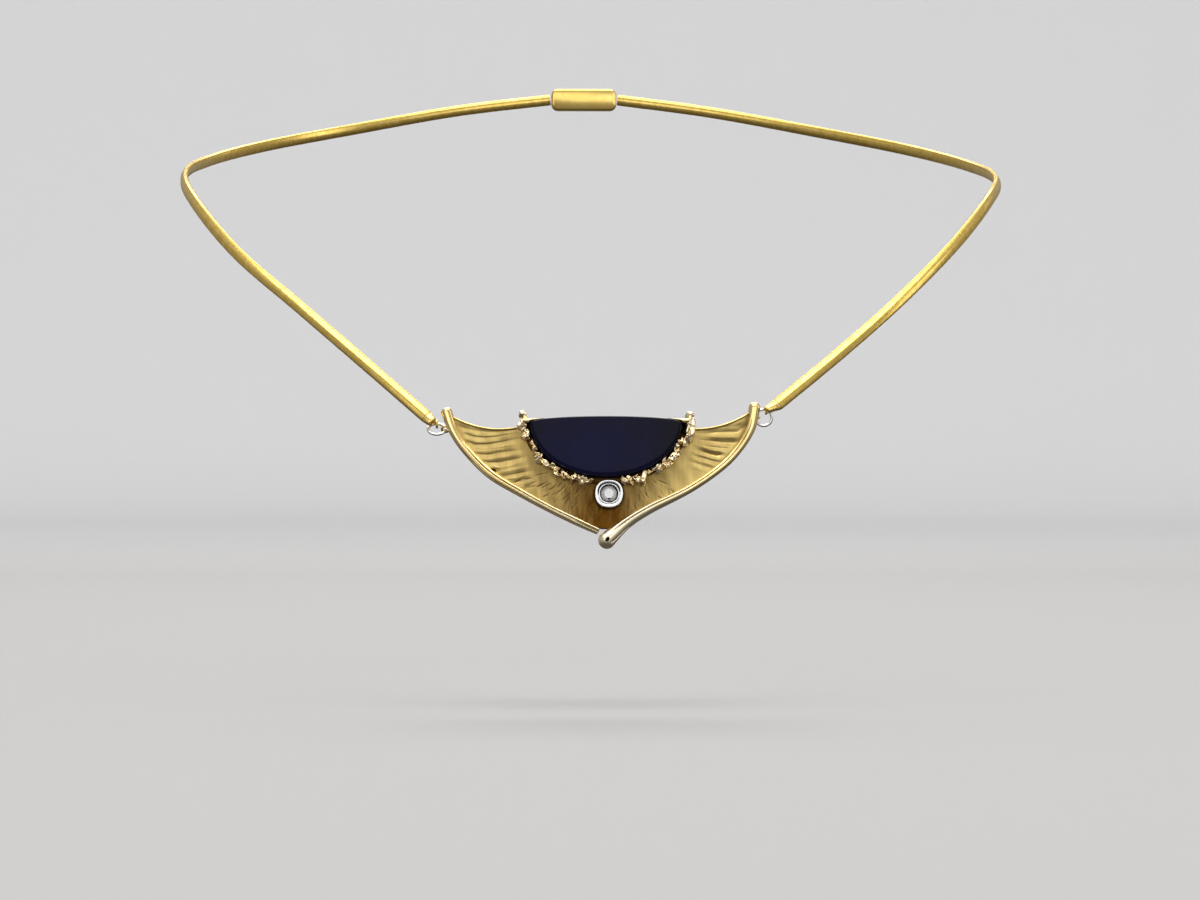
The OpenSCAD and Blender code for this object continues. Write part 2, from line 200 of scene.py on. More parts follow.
def pointValues(obj, **looks):
    for name, values in looks.items():
        made = obj.data.attributes.new(name, "FLOAT", "POINT")
        made.data.foreach_set("value", np.asarray(values, np.float32))


def crisp(obj, degrees):
    # steeper edges than this stay edges
    obj.modifiers.new("edges", "EDGE_SPLIT").split_angle = radians(degrees)
    return obj


def shaderTree(name):
    material = bpy.data.materials.new(name)
    material.use_nodes = True
    tree = material.node_tree
    return material, tree, tree.nodes["Principled BSDF"]


def fill(node, inputs):
    # each input takes a plain value, an output, or the first output of another node
    for name, value in inputs.items():
        if isinstance(value, bpy.types.Node):
            value = next(output for output in value.outputs if output.enabled)
        if isinstance(value, bpy.types.NodeSocket):
            node.id_data.links.new(value, node.inputs[name])
        else:
            node.inputs[name].default_value = value


def newNode(tree, kind, inputs={}, **settings):
    # shader nodes go by their short names
    node = tree.nodes.new(kind if "Node" in kind else "ShaderNode" + kind)
    for name, value in settings.items():
        setattr(node, name, value)
    fill(node, inputs)
    return node


def geoNode(tree, kind, inputs={}, **settings):
    return newNode(tree, "GeometryNode" + kind, inputs, **settings)


def reckon(tree, operation, *values):
    return newNode(tree, "Math", dict(enumerate(values)), operation=operation)


def noise(tree, place, scale, detail=2, roughness=0.5):
    return newNode(tree, "TexNoise", {"Vector": place, "Scale": scale, "Detail": detail,
                                      "Roughness": roughness})


def between(tree, value, low, high, **settings):
    # 0 at the low value, 1 at the high one
    return newNode(tree, "MapRange", {"Value": value, "From Min": low, "From Max": high},
                   **settings)


def placeOn(tree, output="Object"):
    return newNode(tree, "TexCoord").outputs[output]


def carried(tree, label):
    # a value that the piece carries on its points or faces
    return newNode(tree, "Attribute", attribute_name=label).outputs["Fac"]


def newGroup(name, kind, takes, gives):
    # the group, the outputs of its input node, and its output node
    group = bpy.data.node_groups.new(name, kind)
    for way, sockets in (("INPUT", takes), ("OUTPUT", gives)):
        for label, of in sockets.items():
            group.interface.new_socket(label, in_out=way, socket_type="NodeSocket" + of)
    return group, newNode(group, "NodeGroupInput").outputs, newNode(group, "NodeGroupOutput")


def toneRamp(tree, value, first, last, *others):
    # a colour ramp, each step with its place and colour
    ramp = newNode(tree, "ValToRGB", {"Fac": value})
    steps = ramp.color_ramp.elements
    for step, (place, colour) in zip((steps[0], steps[1]), (first, last)):
        step.position, step.color = place, (*colour, 1)
    for place, colour in others:
        steps.new(place).color = (*colour, 1)
    return ramp


def tintBy(tree, factor, tone, colour):
    return newNode(tree, "Mix", {"Factor": factor, "A": tone, "B": (*colour, 1)},
                   data_type="RGBA")


def handGroup():
    # the small unevenness that hand finishing leaves: cloudy tone, hairline scratches, hollows
    group, given, result = newGroup(
        "handFinish", "ShaderNodeTree",
        dict.fromkeys(("Cloud scale", "Scratch scale", "Scratch share", "Hollow scale"), "Float"),
        dict.fromkeys(("Cloud", "Scratch", "Height"), "Float"))
    place = placeOn(group)
    cloud = noise(group, place, given["Cloud scale"], 3)
    hollow = noise(group, place, given["Hollow scale"])
    stretch = newNode(group, "Mapping", {"Vector": place, "Rotation": (0.3, 0.5, 0.6),
                                         "Scale": (1, 0.06, 0.35)})
    # only the noise's peaks scratch
    narrow = between(group, noise(group, stretch, given["Scratch scale"]), 0.56, 0.72)
    scratch = reckon(group, "MULTIPLY", narrow, given["Scratch share"])
    height = reckon(group, "MULTIPLY_ADD", scratch, -0.4, hollow)
    fill(result, {"Cloud": cloud, "Scratch": scratch, "Height": height})
    return group


handFinish = handGroup()


def metal(name, light, deep, rough, roughSpread=0.08, bump=0.15, cloud=300.0, hollow=700.0,
          shadeColour=(0.05, 0.028, 0.008)):
    # metal whose tone runs from deep to light with the cloudiness, darkened by painted shade where
    # the piece asks for it, all scales per metre
    material, tree, shader = shaderTree(name)
    hand = newNode(tree, "Group", {"Cloud scale": cloud, "Scratch scale": 2500.0,
                                   "Scratch share": 0.5, "Hollow scale": hollow},
                   node_tree=handFinish).outputs
    tone = toneRamp(tree, hand["Cloud"], (0.3, deep), (0.7, light))
    # painted shade darkens the colour where the piece carries a shade value, and it is duller there
    recess = carried(tree, "recess")
    shadedTone = tintBy(tree, recess, tone, shadeColour)
    polish = newNode(tree, "MapRange", {"Value": hand["Scratch"], "To Min": rough,
                                        "To Max": rough + roughSpread})
    relief = newNode(tree, "Bump", {"Height": hand["Height"], "Strength": bump,
                                    "Distance": 0.02 * mm})
    fill(shader, {"Base Color": shadedTone, "Metallic": 1, "Normal": relief,
                  "Roughness": reckon(tree, "MULTIPLY_ADD", recess, 0.4, polish)})
    return material, tree, shader, shadedTone, relief


chainGold = metal("chainGold", (0.95, 0.70, 0.21), (0.82, 0.56, 0.12), 0.24, cloud=900, bump=0.35,
                  hollow=2200)[0]
tipGold = metal("tipGold", (0.95, 0.71, 0.24), (0.84, 0.59, 0.16), 0.26, bump=0.3)[0]
claspGold = metal("claspGold", (0.93, 0.69, 0.22), (0.83, 0.58, 0.15), 0.22, bump=0.2)[0]
nuggetGold = metal("nuggetGold", (1.0, 0.87, 0.6), (1.0, 0.78, 0.46), 0.12, cloud=1200, bump=0.3,
                   hollow=2500)[0]
# its painted shade is near black
whiteGold = metal("whiteGold", (0.96, 0.97, 0.98), (0.88, 0.9, 0.92), 0.26, bump=0.12,
                  shadeColour=(0.012, 0.013, 0.016))[0]


def rimFinish():
    # polished gold with a painted pale highlight that grows towards the pendant's point, where it
    # is also less polished
    material, tree, shader, shadedTone, relief = metal(
        "rimGold", (0.98, 0.78, 0.39), (0.89, 0.67, 0.28), 0.18, bump=0.25)
    tone, dull = [socket.links[0].from_socket
                  for socket in (shadedTone.inputs["A"], shader.inputs["Roughness"])]
    pale = carried(tree, "pale")
    fill(shadedTone, {"A": tintBy(tree, pale, tone, (1.0, 0.92, 0.72))})
    fill(shader, {"Roughness": reckon(tree, "MULTIPLY_ADD", pale, 0.2, dull)})
    return material


rimGold = rimFinish()


def drapeFinish():
    # satin gold with painted brown shade in the hollow of the V and by the stone, and fine streaks
    # down the drape
    material, tree, shader, tone, relief = metal(
        "drapeGold", (0.88, 0.67, 0.25), (0.78, 0.57, 0.2), 0.38, roughSpread=0.12, bump=0.4,
        cloud=500, hollow=1500)
    stretch = newNode(tree, "Mapping", {"Vector": placeOn(tree), "Scale": (1, 0.4, 0.16),
                                        "Rotation": (0, 0.35, 0)})
    streak = noise(tree, stretch, 1900, 4, 0.65)
    # the streaks break up the painted brown shade, and crumple the sheet where it carries a
    # "crinkle" value
    spread = reckon(tree, "MULTIPLY_ADD", streak, 0.5, carried(tree, "browning"))
    lines = reckon(tree, "MULTIPLY", streak, carried(tree, "crinkle"))
    crumple = newNode(tree, "Bump", {"Height": lines, "Normal": relief, "Strength": 0.55,
                                     "Distance": 0.25 * mm})
    brown = tintBy(tree, between(tree, spread, 0.3, 1.2), tone, (0.14, 0.06, 0.008))
    fill(shader, {"Base Color": brown, "Normal": crumple})
    return material


drapeGold = drapeFinish()


def stoneFinish():
    # almost black, bluer round the middle, with a faint mottle
    material, tree, shader = shaderTree("darkBlueStone")
    place = placeOn(tree)
    mottle = noise(tree, place, 260, 5)
    # measured from near the stone's middle
    centred = newNode(tree, "Mapping", {"Vector": place, "Location": (0.002, 0.1246, 0.066)})
    away = newNode(tree, "VectorMath", {0: centred}, operation="LENGTH")
    cloud = reckon(tree, "MULTIPLY_ADD", mottle, 0.014, away)
    tone = toneRamp(tree, between(tree, cloud, 0.009, 0.020), (0, (0.005, 0.0055, 0.031)),
                    (1, (0.0056, 0.0054, 0.0115)))
    polish = newNode(tree, "MapRange", {"Value": mottle, "To Min": 0.2, "To Max": 0.3})
    fill(shader, {"Base Color": tone, "Roughness": polish, "IOR": 1.45,
                  "Specular IOR Level": 0.1})
    return material


darkBlueStone = stoneFinish()


def clearFinish():
    # a clear stone, dark where its facets throw no light back
    material, tree, shader = shaderTree("clearStone")
    tone = toneRamp(tree, noise(tree, placeOn(tree), 1500), (0, (0.9, 0.94, 0.92)),
                    (1, (0.98, 0.99, 1)))
    tint = tintBy(tree, carried(tree, "dim"), tone, (0.01, 0.012, 0.014))
    fill(shader, {"Base Color": tint, "Roughness": 0.02, "IOR": 1.9,
                  "Transmission Weight": 0.25})
    return material


clearStone = clearFinish()
print("finishes made")


# Both chains: a core band with a row of domed plates on it
chain = {
    "wide": 2.0,
    "thick": 1.1,
    "pitch": 0.36,
    "plateLong": 0.345,
    "coreShare": 0.96,
    "ridgeSlope": 9,  # degrees, beside the middle line of the dome
    "edgeSlope": 27,  # degrees, towards its edges
    "guideSteps": 220,
    "coreSteps": 160,
    "unevenness": 0.025,  # of the plates' sizes
    "loopHalf": 69.0,
    "loopMiddle": 1.2 - 61.5,
    "loopDeepHalf": 61.5,
    # the routes of the CAD nodes: across, forward, up, angle by which the domed side looks up
    "left": [(-27.3, -118.4, -59.4, 30), (-37.0, -113.3, -51.0, 30), (-47.5, -106.0, -42.0, 30),
             (-58.0, -95.4, -33.0, 28), (-65.8, -81.0, -24.0, 22), (-69.0, -62.0, -18.2, 15),
             (-66.3, -43.0, -14.4, 10), (-57.4, -25.5, -10.5, 6), (-42.4, -11.5, -6.5, 3),
             (-23.5, -2.8, -2.4, 0), (-6.3, 1.2, 0, 0)],
    "right": [(27.7, -118.1, -57.5, 30), (38.0, -112.5, -49.3, 30), (48.0, -105.6, -40.8, 30),
              (58.0, -95.4, -31.3, 28), (65.2, -82.5, -23.2, 22), (68.7, -62.0, -18.6, 15),
              (66.2, -43.0, -15.0, 10), (57.4, -25.5, -11.0, 6), (42.4, -11.5, -6.8, 3),
              (23.5, -2.8, -2.6, 0), (6.3, 1.2, 0, 0)],
}


def domedWay(route, k):
    row = rowAt(route, k)
    level = unit([row[0] / chain["loopHalf"] ** 2,
                  (row[1] - chain["loopMiddle"]) / chain["loopDeepHalf"] ** 2, 0])
    look = radians(row[3])
    raised = level * cos(look) + np.array([0, 0, sin(look)])
    t = runAt(route, k, 3)
    return unit(raised - (raised @ t) * t)


def chainSection(wide, thick):
    # flat back with rounded edges under two low flanks: x across, y to the domed side
    half, back, dome = wide / 2, -thick * 0.45, thick * 0.55
    first, last = [tan(radians(chain[name])) for name in ("ridgeSlope", "edgeSlope")]
    flank = [(half * s, dome - half * (first * s + (last - first) * s * s / 2))
             for s in (0.05, 0.35, 0.65, 0.9)]
    flank.append((half, flank[-1][1] - 0.18 * thick))
    return (flank[::-1] + [(-x, y) for x, y in flank]
            + [(-half, back * 0.5), (-half * 0.8, back), (half * 0.8, back), (half, back * 0.5)])


def chainRing(route, k, section, middle):
    t, d = runAt(route, k, 3), domedWay(route, k)
    w = np.cross(d, t)
    return [middle + x * w + y * d for x, y in section]


def plateTemplate():
    # one domed plate, its ends chamfered so that a groove shows between two of them
    long, section = chain["plateLong"] / 2, chainSection(chain["wide"], chain["thick"])
    plate = Builder().loft([
        [(x * (0.5 + share / 2), y * share, z) for x, y in section]
        for z, share in ((-long, 0.975), (-long * 0.8, 1), (long * 0.8, 1), (long, 0.975))
    ]).object("plateTemplate")
    # the chamfers stay crisp
    n = len(section)
    sharp = [edge.vertices[0] // n == edge.vertices[1] // n for edge in plate.data.edges]
    plate.data.attributes.new("sharp_edge", "BOOLEAN", "EDGE").data.foreach_set("value", sharp)
    return plate


def readBack(group, label, of="FLOAT_VECTOR"):
    # what the guide's points carry
    return geoNode(group, "InputNamedAttribute", {"Name": label}, data_type=of)


def plateTree():
    # plates along a guide line, each turned by the line's run and by the way that its dome looks
    group, given, result = newGroup(
        "platesAlongChain", "GeometryNodeTree",
        {"Geometry": "Geometry", "Plate pitch": "Float", "Plate": "Object",
         "Unevenness": "Float", "Finish": "Material"}, {"Geometry": "Geometry"})
    curve = geoNode(group, "MeshToCurve", {"Mesh": given["Geometry"]})
    spaced = geoNode(group, "ResampleCurve", {"Curve": curve, "Length": given["Plate pitch"]},
                     mode="LENGTH")
    plate = geoNode(group, "ObjectInfo", {"Object": given["Plate"]})
    turn = newNode(group, "FunctionNodeAxesToRotation",
                   {"Primary Axis": geoNode(group, "InputTangent"),
                    "Secondary Axis": readBack(group, "domedWay")},
                   primary_axis="Z", secondary_axis="Y")
    size = newNode(group, "FunctionNodeRandomValue",
                   {"Min": reckon(group, "SUBTRACT", 1, given["Unevenness"]), "Max": 1,
                    "Seed": 11})
    place = geoNode(group, "InstanceOnPoints",
                    {"Points": spaced, "Instance": plate.outputs["Geometry"],
                     "Rotation": turn, "Scale": size})
    real = geoNode(group, "RealizeInstances", {"Geometry": place})
    finish = geoNode(group, "SetMaterial", {"Geometry": real, "Material": given["Finish"]})
    fill(result, {"Geometry": finish})
    return group


def guideOf(name, points, edges=(), **vectors):
    # a guide without faces, whose points carry named vectors
    guide = makeMesh(name, points, [], edges=edges)
    for label, rows in vectors.items():
        made = guide.data.attributes.new(label, "FLOAT_VECTOR", "POINT")
        made.data.foreach_set("vector", np.asarray(rows, np.float32).ravel())
    return guide


def runTree(guide, tree, name, values):
    # the node tree's result on a guide, as a plain mesh
    nodes = guide.modifiers.new(name, "NODES")
    nodes.node_group = tree
    for item in tree.interface.items_tree:
        if item.name in values:
            nodes[item.identifier] = values[item.name]
    return nodesToMesh(guide, name)


def nodesToMesh(guide, name):
    # the evaluated result as a plain mesh on an object of its own
    bpy.context.view_layer.update()
    seen = bpy.context.evaluated_depsgraph_get()
    mesh = bpy.data.meshes.new_from_object(guide.evaluated_get(seen))
    mesh.name = name
    made = inScene(bpy.data.objects.new(name, mesh))
    bpy.data.objects.remove(guide)
    return made


def makeChain(side, template, tree):
    route = chain[side]
    last = len(route) - 1
    ks = np.linspace(0, last, chain["guideSteps"] * 4)
    line = np.array([rowAt(route, k)[:3] for k in ks])
    run = np.concatenate([[0], np.cumsum(np.linalg.norm(np.diff(line, axis=0), axis=1))])
    inset = chain["plateLong"] / 2
    spots = np.interp(np.linspace(inset, run[-1] - inset, chain["guideSteps"]), run, ks)
    guide = guideOf(side + "Guide", [rowAt(route, k)[:3] for k in spots],
                    [(i, i + 1) for i in range(len(spots) - 1)],
                    domedWay=[domedWay(route, k) for k in spots])
    made = runTree(guide, tree, side + "ChainPlates",
                   {"Plate pitch": chain["pitch"] * mm, "Plate": template,
                    "Unevenness": chain["unevenness"], "Finish": chainGold})
    core = chainSection(chain["wide"] * chain["coreShare"], chain["thick"] * chain["coreShare"])
    band = Builder().loft([chainRing(route, k, core, rowAt(route, k)[:3])
                           for k in np.linspace(0.01, last - 0.01, chain["coreSteps"])
                           ]).object(side + "ChainCore")
    band.data.materials.append(chainGold)
    both = [made, band]
    with bpy.context.temp_override(active_object=made, selected_editable_objects=both,
                                   selected_objects=both):
        bpy.ops.object.join()
    ownPiece(made, None, "yellow_gold", side + "_chain")
    print(side, "chain:", round(run[-1], 1), "mm,", len(made.data.polygons), "faces")


template = plateTemplate()
tree = plateTree()
for side in ("left", "right"):
    makeChain(side, template, tree)
bpy.data.objects.remove(template)


# What joins each chain to the pendant: tapered tip, jump ring, two small eyes
links = {
    # centre and radius of each jump ring, its lean, the tip's eye and the rim's eye on it
    "left": {"centre": (-25.6, -118.6, -61.4), "radius": 1.35, "lean": 52, "tipEye": 90,
             "rimEye": 0, "tipEnd": (-26.2, -118.98, -60.4), "tipWide": 1.5, "rimPlace": 0.95},
    "right": {"centre": (25.5, -117.76, -59.6), "radius": 1.28, "lean": 0, "tipEye": 60,
              "rimEye": 180, "tipEnd": (25.7, -118.9, -58.5), "tipWide": 1.1, "rimPlace": 0.55},
    "ringWire": 0.44,
    "eyeWire": 0.4,
    "eyeRadius": 0.56,
    "endGap": 0.08,
    "ringSteps": (96, 20),  # along the wire and round it
    "eyeSteps": (40, 14),
    # share of the way to the eye, of the width and of the thickness
    "tipSections": ((1.0, 0.55, 0.5), (0.985, 0.8, 0.75), (0.93, 0.97, 0.92), (0.85, 1, 1),
                    (0.6, 1, 1), (0.35, 1, 1), (0.16, 1, 1), (0.1, 1.0, 0.92), (0.06, 1.0, 0.92),
                    (0.03, 1, 1), (0, 0.96, 0.95)),
}


def eyeParts(build, side, angle, root):
    # a small eye round the ring's wire, with the peg that carries it
    row, a, lean = links[side], radians(angle), radians(links[side]["lean"])
    out = np.array([cos(a), sin(a) * sin(lean), sin(a) * cos(lean)])
    run = np.array([-sin(a), cos(a) * sin(lean), cos(a) * cos(lean)])
    middle = np.array(row["centre"]) + row["radius"] * out
    build.loft(torusRings(middle, run, links["eyeRadius"], links["eyeWire"],
                          *links["eyeSteps"]), closed=True)
    near = middle + unit(np.asarray(root) - middle) * links["eyeRadius"]
    way = np.asarray(root) - near
    build.loft([tubeRing(near + way * s, way, links["eyeWire"] / 2, links["eyeSteps"][1])
                for s in (0, 0.5, 1)])


def makeTip(side):
    # lofted from the chain's end to the eye
    route, row = chain[side], links[side]
    start = rowAt(route, 0)[:3] - runAt(route, 0, 3) * links["endGap"]
    end = np.array(row["tipEnd"])
    rings = []
    for s, wide, thick in links["tipSections"]:
        full = row["tipWide"] + (chain["wide"] - row["tipWide"]) * (1 - s) ** 1.4
        section = chainSection(full * wide, chain["thick"] * thick)
        rings.append(chainRing(route, 0, section, start + (end - start) * s))
    build = Builder().loft(rings)
    back = -domedWay(route, 0) * chain["thick"] * 0.1
    eyeParts(build, side, row["tipEye"], (start + end * 2) / 3 + back)
    build.piece(side + "ChainTip", tipGold, "yellow_gold", side + "_tip")


def makeRing(side):
    row, lean = links[side], radians(links[side]["lean"])
    rings = torusRings(row["centre"], (0, -cos(lean), sin(lean)), row["radius"],
                       links["ringWire"], *links["ringSteps"])
    Builder().loft(rings, closed=True).piece(side + "JumpRing", whiteGold, "white_gold",
                                             side + "_ring")


for side in ("left", "right"):
    makeTip(side)
    makeRing(side)
print("tips and rings made")


# The two rolled rims, which meet at the pendant's point
rims = {
    # middle and radius of each rim from its upper end to the point of the pendant
    "left": [(-24.1, 1.6, 0.85), (-23.0, -1.4, 0.78), (-21.0, -4.5, 0.73), (-17.3, -8.3, 0.74),
             (-12.7, -11.2, 0.68), (-8.0, -13.8, 0.62), (-4.1, -15.7, 0.64), (-0.6, -17.3, 0.56)],
    "right": [(24.0, 2.2, 0.90), (23.4, -0.9, 0.78), (21.6, -4.1, 0.66), (18.7, -7.2, 0.62),
              (13.7, -10.7, 0.64), (7.5, -13.8, 0.78), (3.8, -16.1, 0.90), (0.75, -18.75, 1.34)],
    "leftHighlight": 0.35,   # how strong the painted pale highlight is at the lower end
    "rightHighlight": 0.78,
    "leftEnds": (0.72, 0.35),  # how far the upper and lower ends reach out, in radii
    "rightEnds": (0.97, 0.97),
    "forward": 0.15,
    "steps": 200,
    "around": 120,
    # how each end closes: share of its reach, share of the radius
    "endRound": ((0.12, 0.993), (0.25, 0.968), (0.37, 0.929), (0.48, 0.877), (0.59, 0.807),
                 (0.68, 0.733), (0.76, 0.65), (0.83, 0.558), (0.89, 0.456), (0.93, 0.367),
                 (0.965, 0.262), (0.985, 0.172), (0.996, 0.089), (1.0, 0.02)),
}


def rimMiddle(row):
    return np.array([row[0], row[1], wingBack(row[0]) + rims["forward"]])


def leftRelief(a, k):
    # a bright inner ridge, a groove, a lined band and a thin outer strip, with painted shade in the
    # groove, the lower split, the strip and the lines
    opens = ease(k, 1.2, 2.6)
    groove = opens * bell(a - 106, 7)
    split = ease(k, 5.6, 6.5) * bell(a - 88, 9)
    strip = ease(k, 2.0, 2.5) * bell(a - 42, 5)
    lines = opens * (bell(a - 84, 3) + bell(a - 70, 3) + bell(a - 57, 3))
    shape = 1 - 0.22 * groove - 0.3 * split - 0.12 * strip - 0.035 * lines
    dark = 0.8 * groove + split + 0.45 * strip + 0.25 * lines
    return shape + 0.07 * opens * bell(a - 134, 18), dark


def rightRelief(a, k):
    # a bright inner ridge beside a rounded roll, whose open seam shows near the lower end, with
    # painted shade in the crease and the seam
    opens = ease(k, 0.3, 1.6) * (1 - ease(k, 6.0, 6.8))
    crease = opens * bell(a - 110, 7)
    seam = ease(k, 5.8, 6.1) * (1 - ease(k, 6.75, 6.95)) * bell(a - 30 - 26 * (k - 6), 6)
    shape = 1 - 0.2 * crease - 0.3 * seam + 0.06 * opens * bell(a - 138, 20)
    return shape, 0.7 * crease + seam


def rimSection(side, k, relief, middle, radius):
    way = runAt(rims[side], k, 2)
    hand = 1 if side == "right" else -1
    out = np.array([-way[1] * hand, way[0] * hand, 0])
    angles = 360.0 * np.arange(rims["around"]) / rims["around"]
    shape, dark = relief(angles, k) if relief else (np.ones(len(angles)), np.zeros(len(angles)))
    turn = np.radians(angles)
    ring = (middle + (radius * shape * np.cos(turn))[:, None] * out
            + (radius * shape * np.sin(turn))[:, None] * np.array([0, 0, 1.0]))
    return ring[::hand], dark[::hand]


def makeRim(side, relief):
    rows, pale = rims[side], rims[side + "Highlight"]
    last = len(rows) - 1

    def rounded(k, inner, deep, relief):
        # sections past one end, which close it
        row, way = rowAt(rows, k), unit((rowAt(rows, k) - rowAt(rows, inner))[:2])
        return [rimSection(side, k, relief,
                           rimMiddle(row) + np.array([*way, 0]) * reach * row[2] * deep,
                           row[2] * share) for reach, share in rims["endRound"]]

    upperDeep, lowerDeep = rims[side + "Ends"]
    sections = rounded(0, 0.02, upperDeep, None)[::-1]
    paleHighlights = [0] * len(sections)
    for k in np.linspace(0, last, rims["steps"]):
        row = rowAt(rows, k)
        sections.append(rimSection(side, k, relief, rimMiddle(row), row[2]))
        paleHighlights.append(pale * float(ease(k, 3.0, 5.8)))
    sections += rounded(last, last - 0.02, lowerDeep, relief)
    paleHighlights += [pale] * len(rims["endRound"])
    build = Builder().loft([onPendant(ring) for ring, dark in sections])
    darks = np.concatenate([dark for ring, dark in sections])
    root = onPendant(rimMiddle(rowAt(rows, links[side]["rimPlace"])))
    eyeParts(build, side, links[side]["rimEye"], root)
    obj = build.object(side + "RolledRim")
    spare = len(build.points) - len(darks)
    # the reliefs' dark values become painted shade, and the pale values a painted highlight
    pointValues(obj, recess=np.pad(np.clip(darks, 0, 1), (0, spare)),
                pale=np.pad(np.repeat(paleHighlights, rims["around"]), (0, spare)))
    return obj


leftRim = makeRim("left", leftRelief)
rightRim = makeRim("right", rightRelief)


# The small hole in the right rim's lower end, painted dark with shade, measured from the rim's
# middle
mouth = {"at": (0.1, 0.1, 0.5), "half": (0.27, 0.4), "lean": 30, "deep": 2.0}


def boreMouth(obj):
    centre = rimMiddle(rims["right"][-1]) + np.array(mouth["at"])
    c, s = cos(radians(mouth["lean"])), sin(radians(mouth["lean"]))
    axes = np.array([[c, -s, 0], [s, c, 0]])
    wide, high = mouth["half"]
    cutter = Builder().loft([
        onPendant([centre + np.array([0, 0, depth]) + wide * cos(a) * axes[0]
                   + high * sin(a) * axes[1] for a in around(32)])
        for depth in np.linspace(0, mouth["deep"], 9)]).object("mouthCutter")
    cut = obj.modifiers.new("mouth", "BOOLEAN")
    cut.object, cut.solver = cutter, "EXACT"
    made = nodesToMesh(obj, obj.name + "Cut")
    bpy.data.objects.remove(cutter)
    # every point on the hole's wall or floor gets full painted shade
    places = np.array([v.co for v in made.data.vertices]) / mm - onPendant(centre)
    zero = onPendant([0, 0, 0])
    reach = np.hypot(*[places @ (onPendant(way) - zero) / half
                       for way, half in zip(axes, mouth["half"])])
    ahead = places @ unit(onPendant([0, 0, 1]) - zero)
    for i in np.flatnonzero((reach < 1.02) & (ahead > -0.05)):
        made.data.attributes["recess"].data[i].value = 1
    return made


rightRim = boreMouth(rightRim)
rightRim.name = "rightRolledRim"
ownPiece(leftRim, rimGold, "yellow_gold")
ownPiece(rightRim, rimGold, "yellow_gold")
print("rims made")


# The pleated sheet between the rims and the stone
drape = {
    # from the stone's edge to the rims, round from the left wing: inner end, outer end, sag
    "lines": [(-11.6, -0.7, -23.9, 1.3, 1.40), (-10.3, -3.3, -22.1, -2.9, 0.45),
              (-8.8, -5.4, -20.1, -5.8, 0.50), (-7.5, -6.8, -17.3, -8.2, 0.20),
              (-5.4, -8.0, -12.7, -11.2, 0), (-2.9, -8.7, -7.6, -14.0, 0),
              (0.7, -9.0, 0.3, -17.0, 0), (4.2, -8.7, 6.2, -14.6, 0),
              (6.8, -8.1, 11.4, -12.1, 0), (9.2, -6.5, 17.0, -8.7, 0.10),
              (11.0, -4.5, 20.1, -5.9, 0.15), (12.0, -2.8, 22.1, -3.4, 0.20),
              (13.0, -1.2, 23.8, 1.9, 1.05)],
    "columns": 640,
    "rows": 46,
    "front": 0.28,
    "rise": 0.6,
    "thick": 0.5,
    "lip": 0.13,
    "lipWide": 0.3,
    "colletShade": (1.1, -11.6, 2.25),  # place and radius of the painted shadow round the collet
    "notch": (494, 470),   # as seen in the photograph
    "notchDeep": 0.45,
    "hollow": (606, 526),  # the middle of the V there
    "hollowReach": (5.0, 4.2),
    "brownShadeMiddle": 0.82,   # how much painted brown shade lies below the stone, and along its edge
    "brownShadeByStone": 0.35,
    "crumpled": (5.5, 3.4),  # how far from the middle, and its reach
    "handRaised": 0.03,
    "valleyShare": 0.6,
    "valleySides": (0.75, 1.5),  # the steep side's and the slow side's width, in widths
    # valleys as seen in the photograph: places, depth, width of each side in millimetres
    "valleys": [
        ([(455, 422), (461, 425.5), (475, 429.3), (488, 431.2), (505, 431), (517, 428.5)],
         0.2, 0.42),
        ([(462, 430.5), (467, 433.2), (475, 436), (486, 437), (495, 436.3), (516, 433.5)],
         0.3, 0.46),
        ([(463, 437.5), (468, 440.8), (475, 443.6), (487, 443.8), (501, 441.8), (519, 438.5)],
         0.34, 0.5),
        ([(471, 447), (482, 449), (495, 448.5), (510, 446.5), (521, 444)], 0.12, 0.35),
        ([(474, 451.5), (480, 453.6), (489, 454.2), (500, 452), (520, 450)], 0.22, 0.42),
        ([(481, 459.5), (488, 462), (500, 462), (515, 459), (524, 457)], 0.2, 0.42),
        ([(491, 468), (497, 472)], 0.2, 0.28),
        ([(497, 473.5), (502, 476.3), (515, 474), (530, 471)], 0.16, 0.34),
        ([(506, 480), (516, 481), (530, 478)], 0.1, 0.3),
        ([(750, 421), (738, 430.5), (720, 431.2), (706, 433), (697, 433.5)], 0.3, 0.46),
        ([(743, 424), (735, 425.3), (722, 426.3), (712, 429)], 0.1, 0.3),
        ([(741, 439), (735, 441.6), (723, 441.7), (710, 440.3), (697, 439.2)], 0.3, 0.44),
        ([(734, 446), (728, 447.5), (715, 446.8), (697, 444.5)], 0.2, 0.36),
        ([(723, 454), (718, 454.8), (712, 454), (705, 452), (697, 448.8)], 0.42, 0.36),
        ([(720, 462), (714, 460.6), (706, 458.3), (694, 455.5)], 0.2, 0.36),
        ([(712, 468), (702, 465), (690, 461)], 0.08, 0.34),
        ([(566, 486), (560, 492), (553, 500)], 0.07, 0.11),
        ([(578, 502), (573, 509), (570, 513)], 0.07, 0.11),
        ([(638, 490), (642, 496), (646, 502)], 0.05, 0.11),
    ],
    "creaseSeed": 3,
    "creases": [(3.5, 6.0, 34), (6.4, 8.2, 15)],  # from line to line, how many
    "creaseDeep": 0.055,
    "creaseWide": 0.085,
}


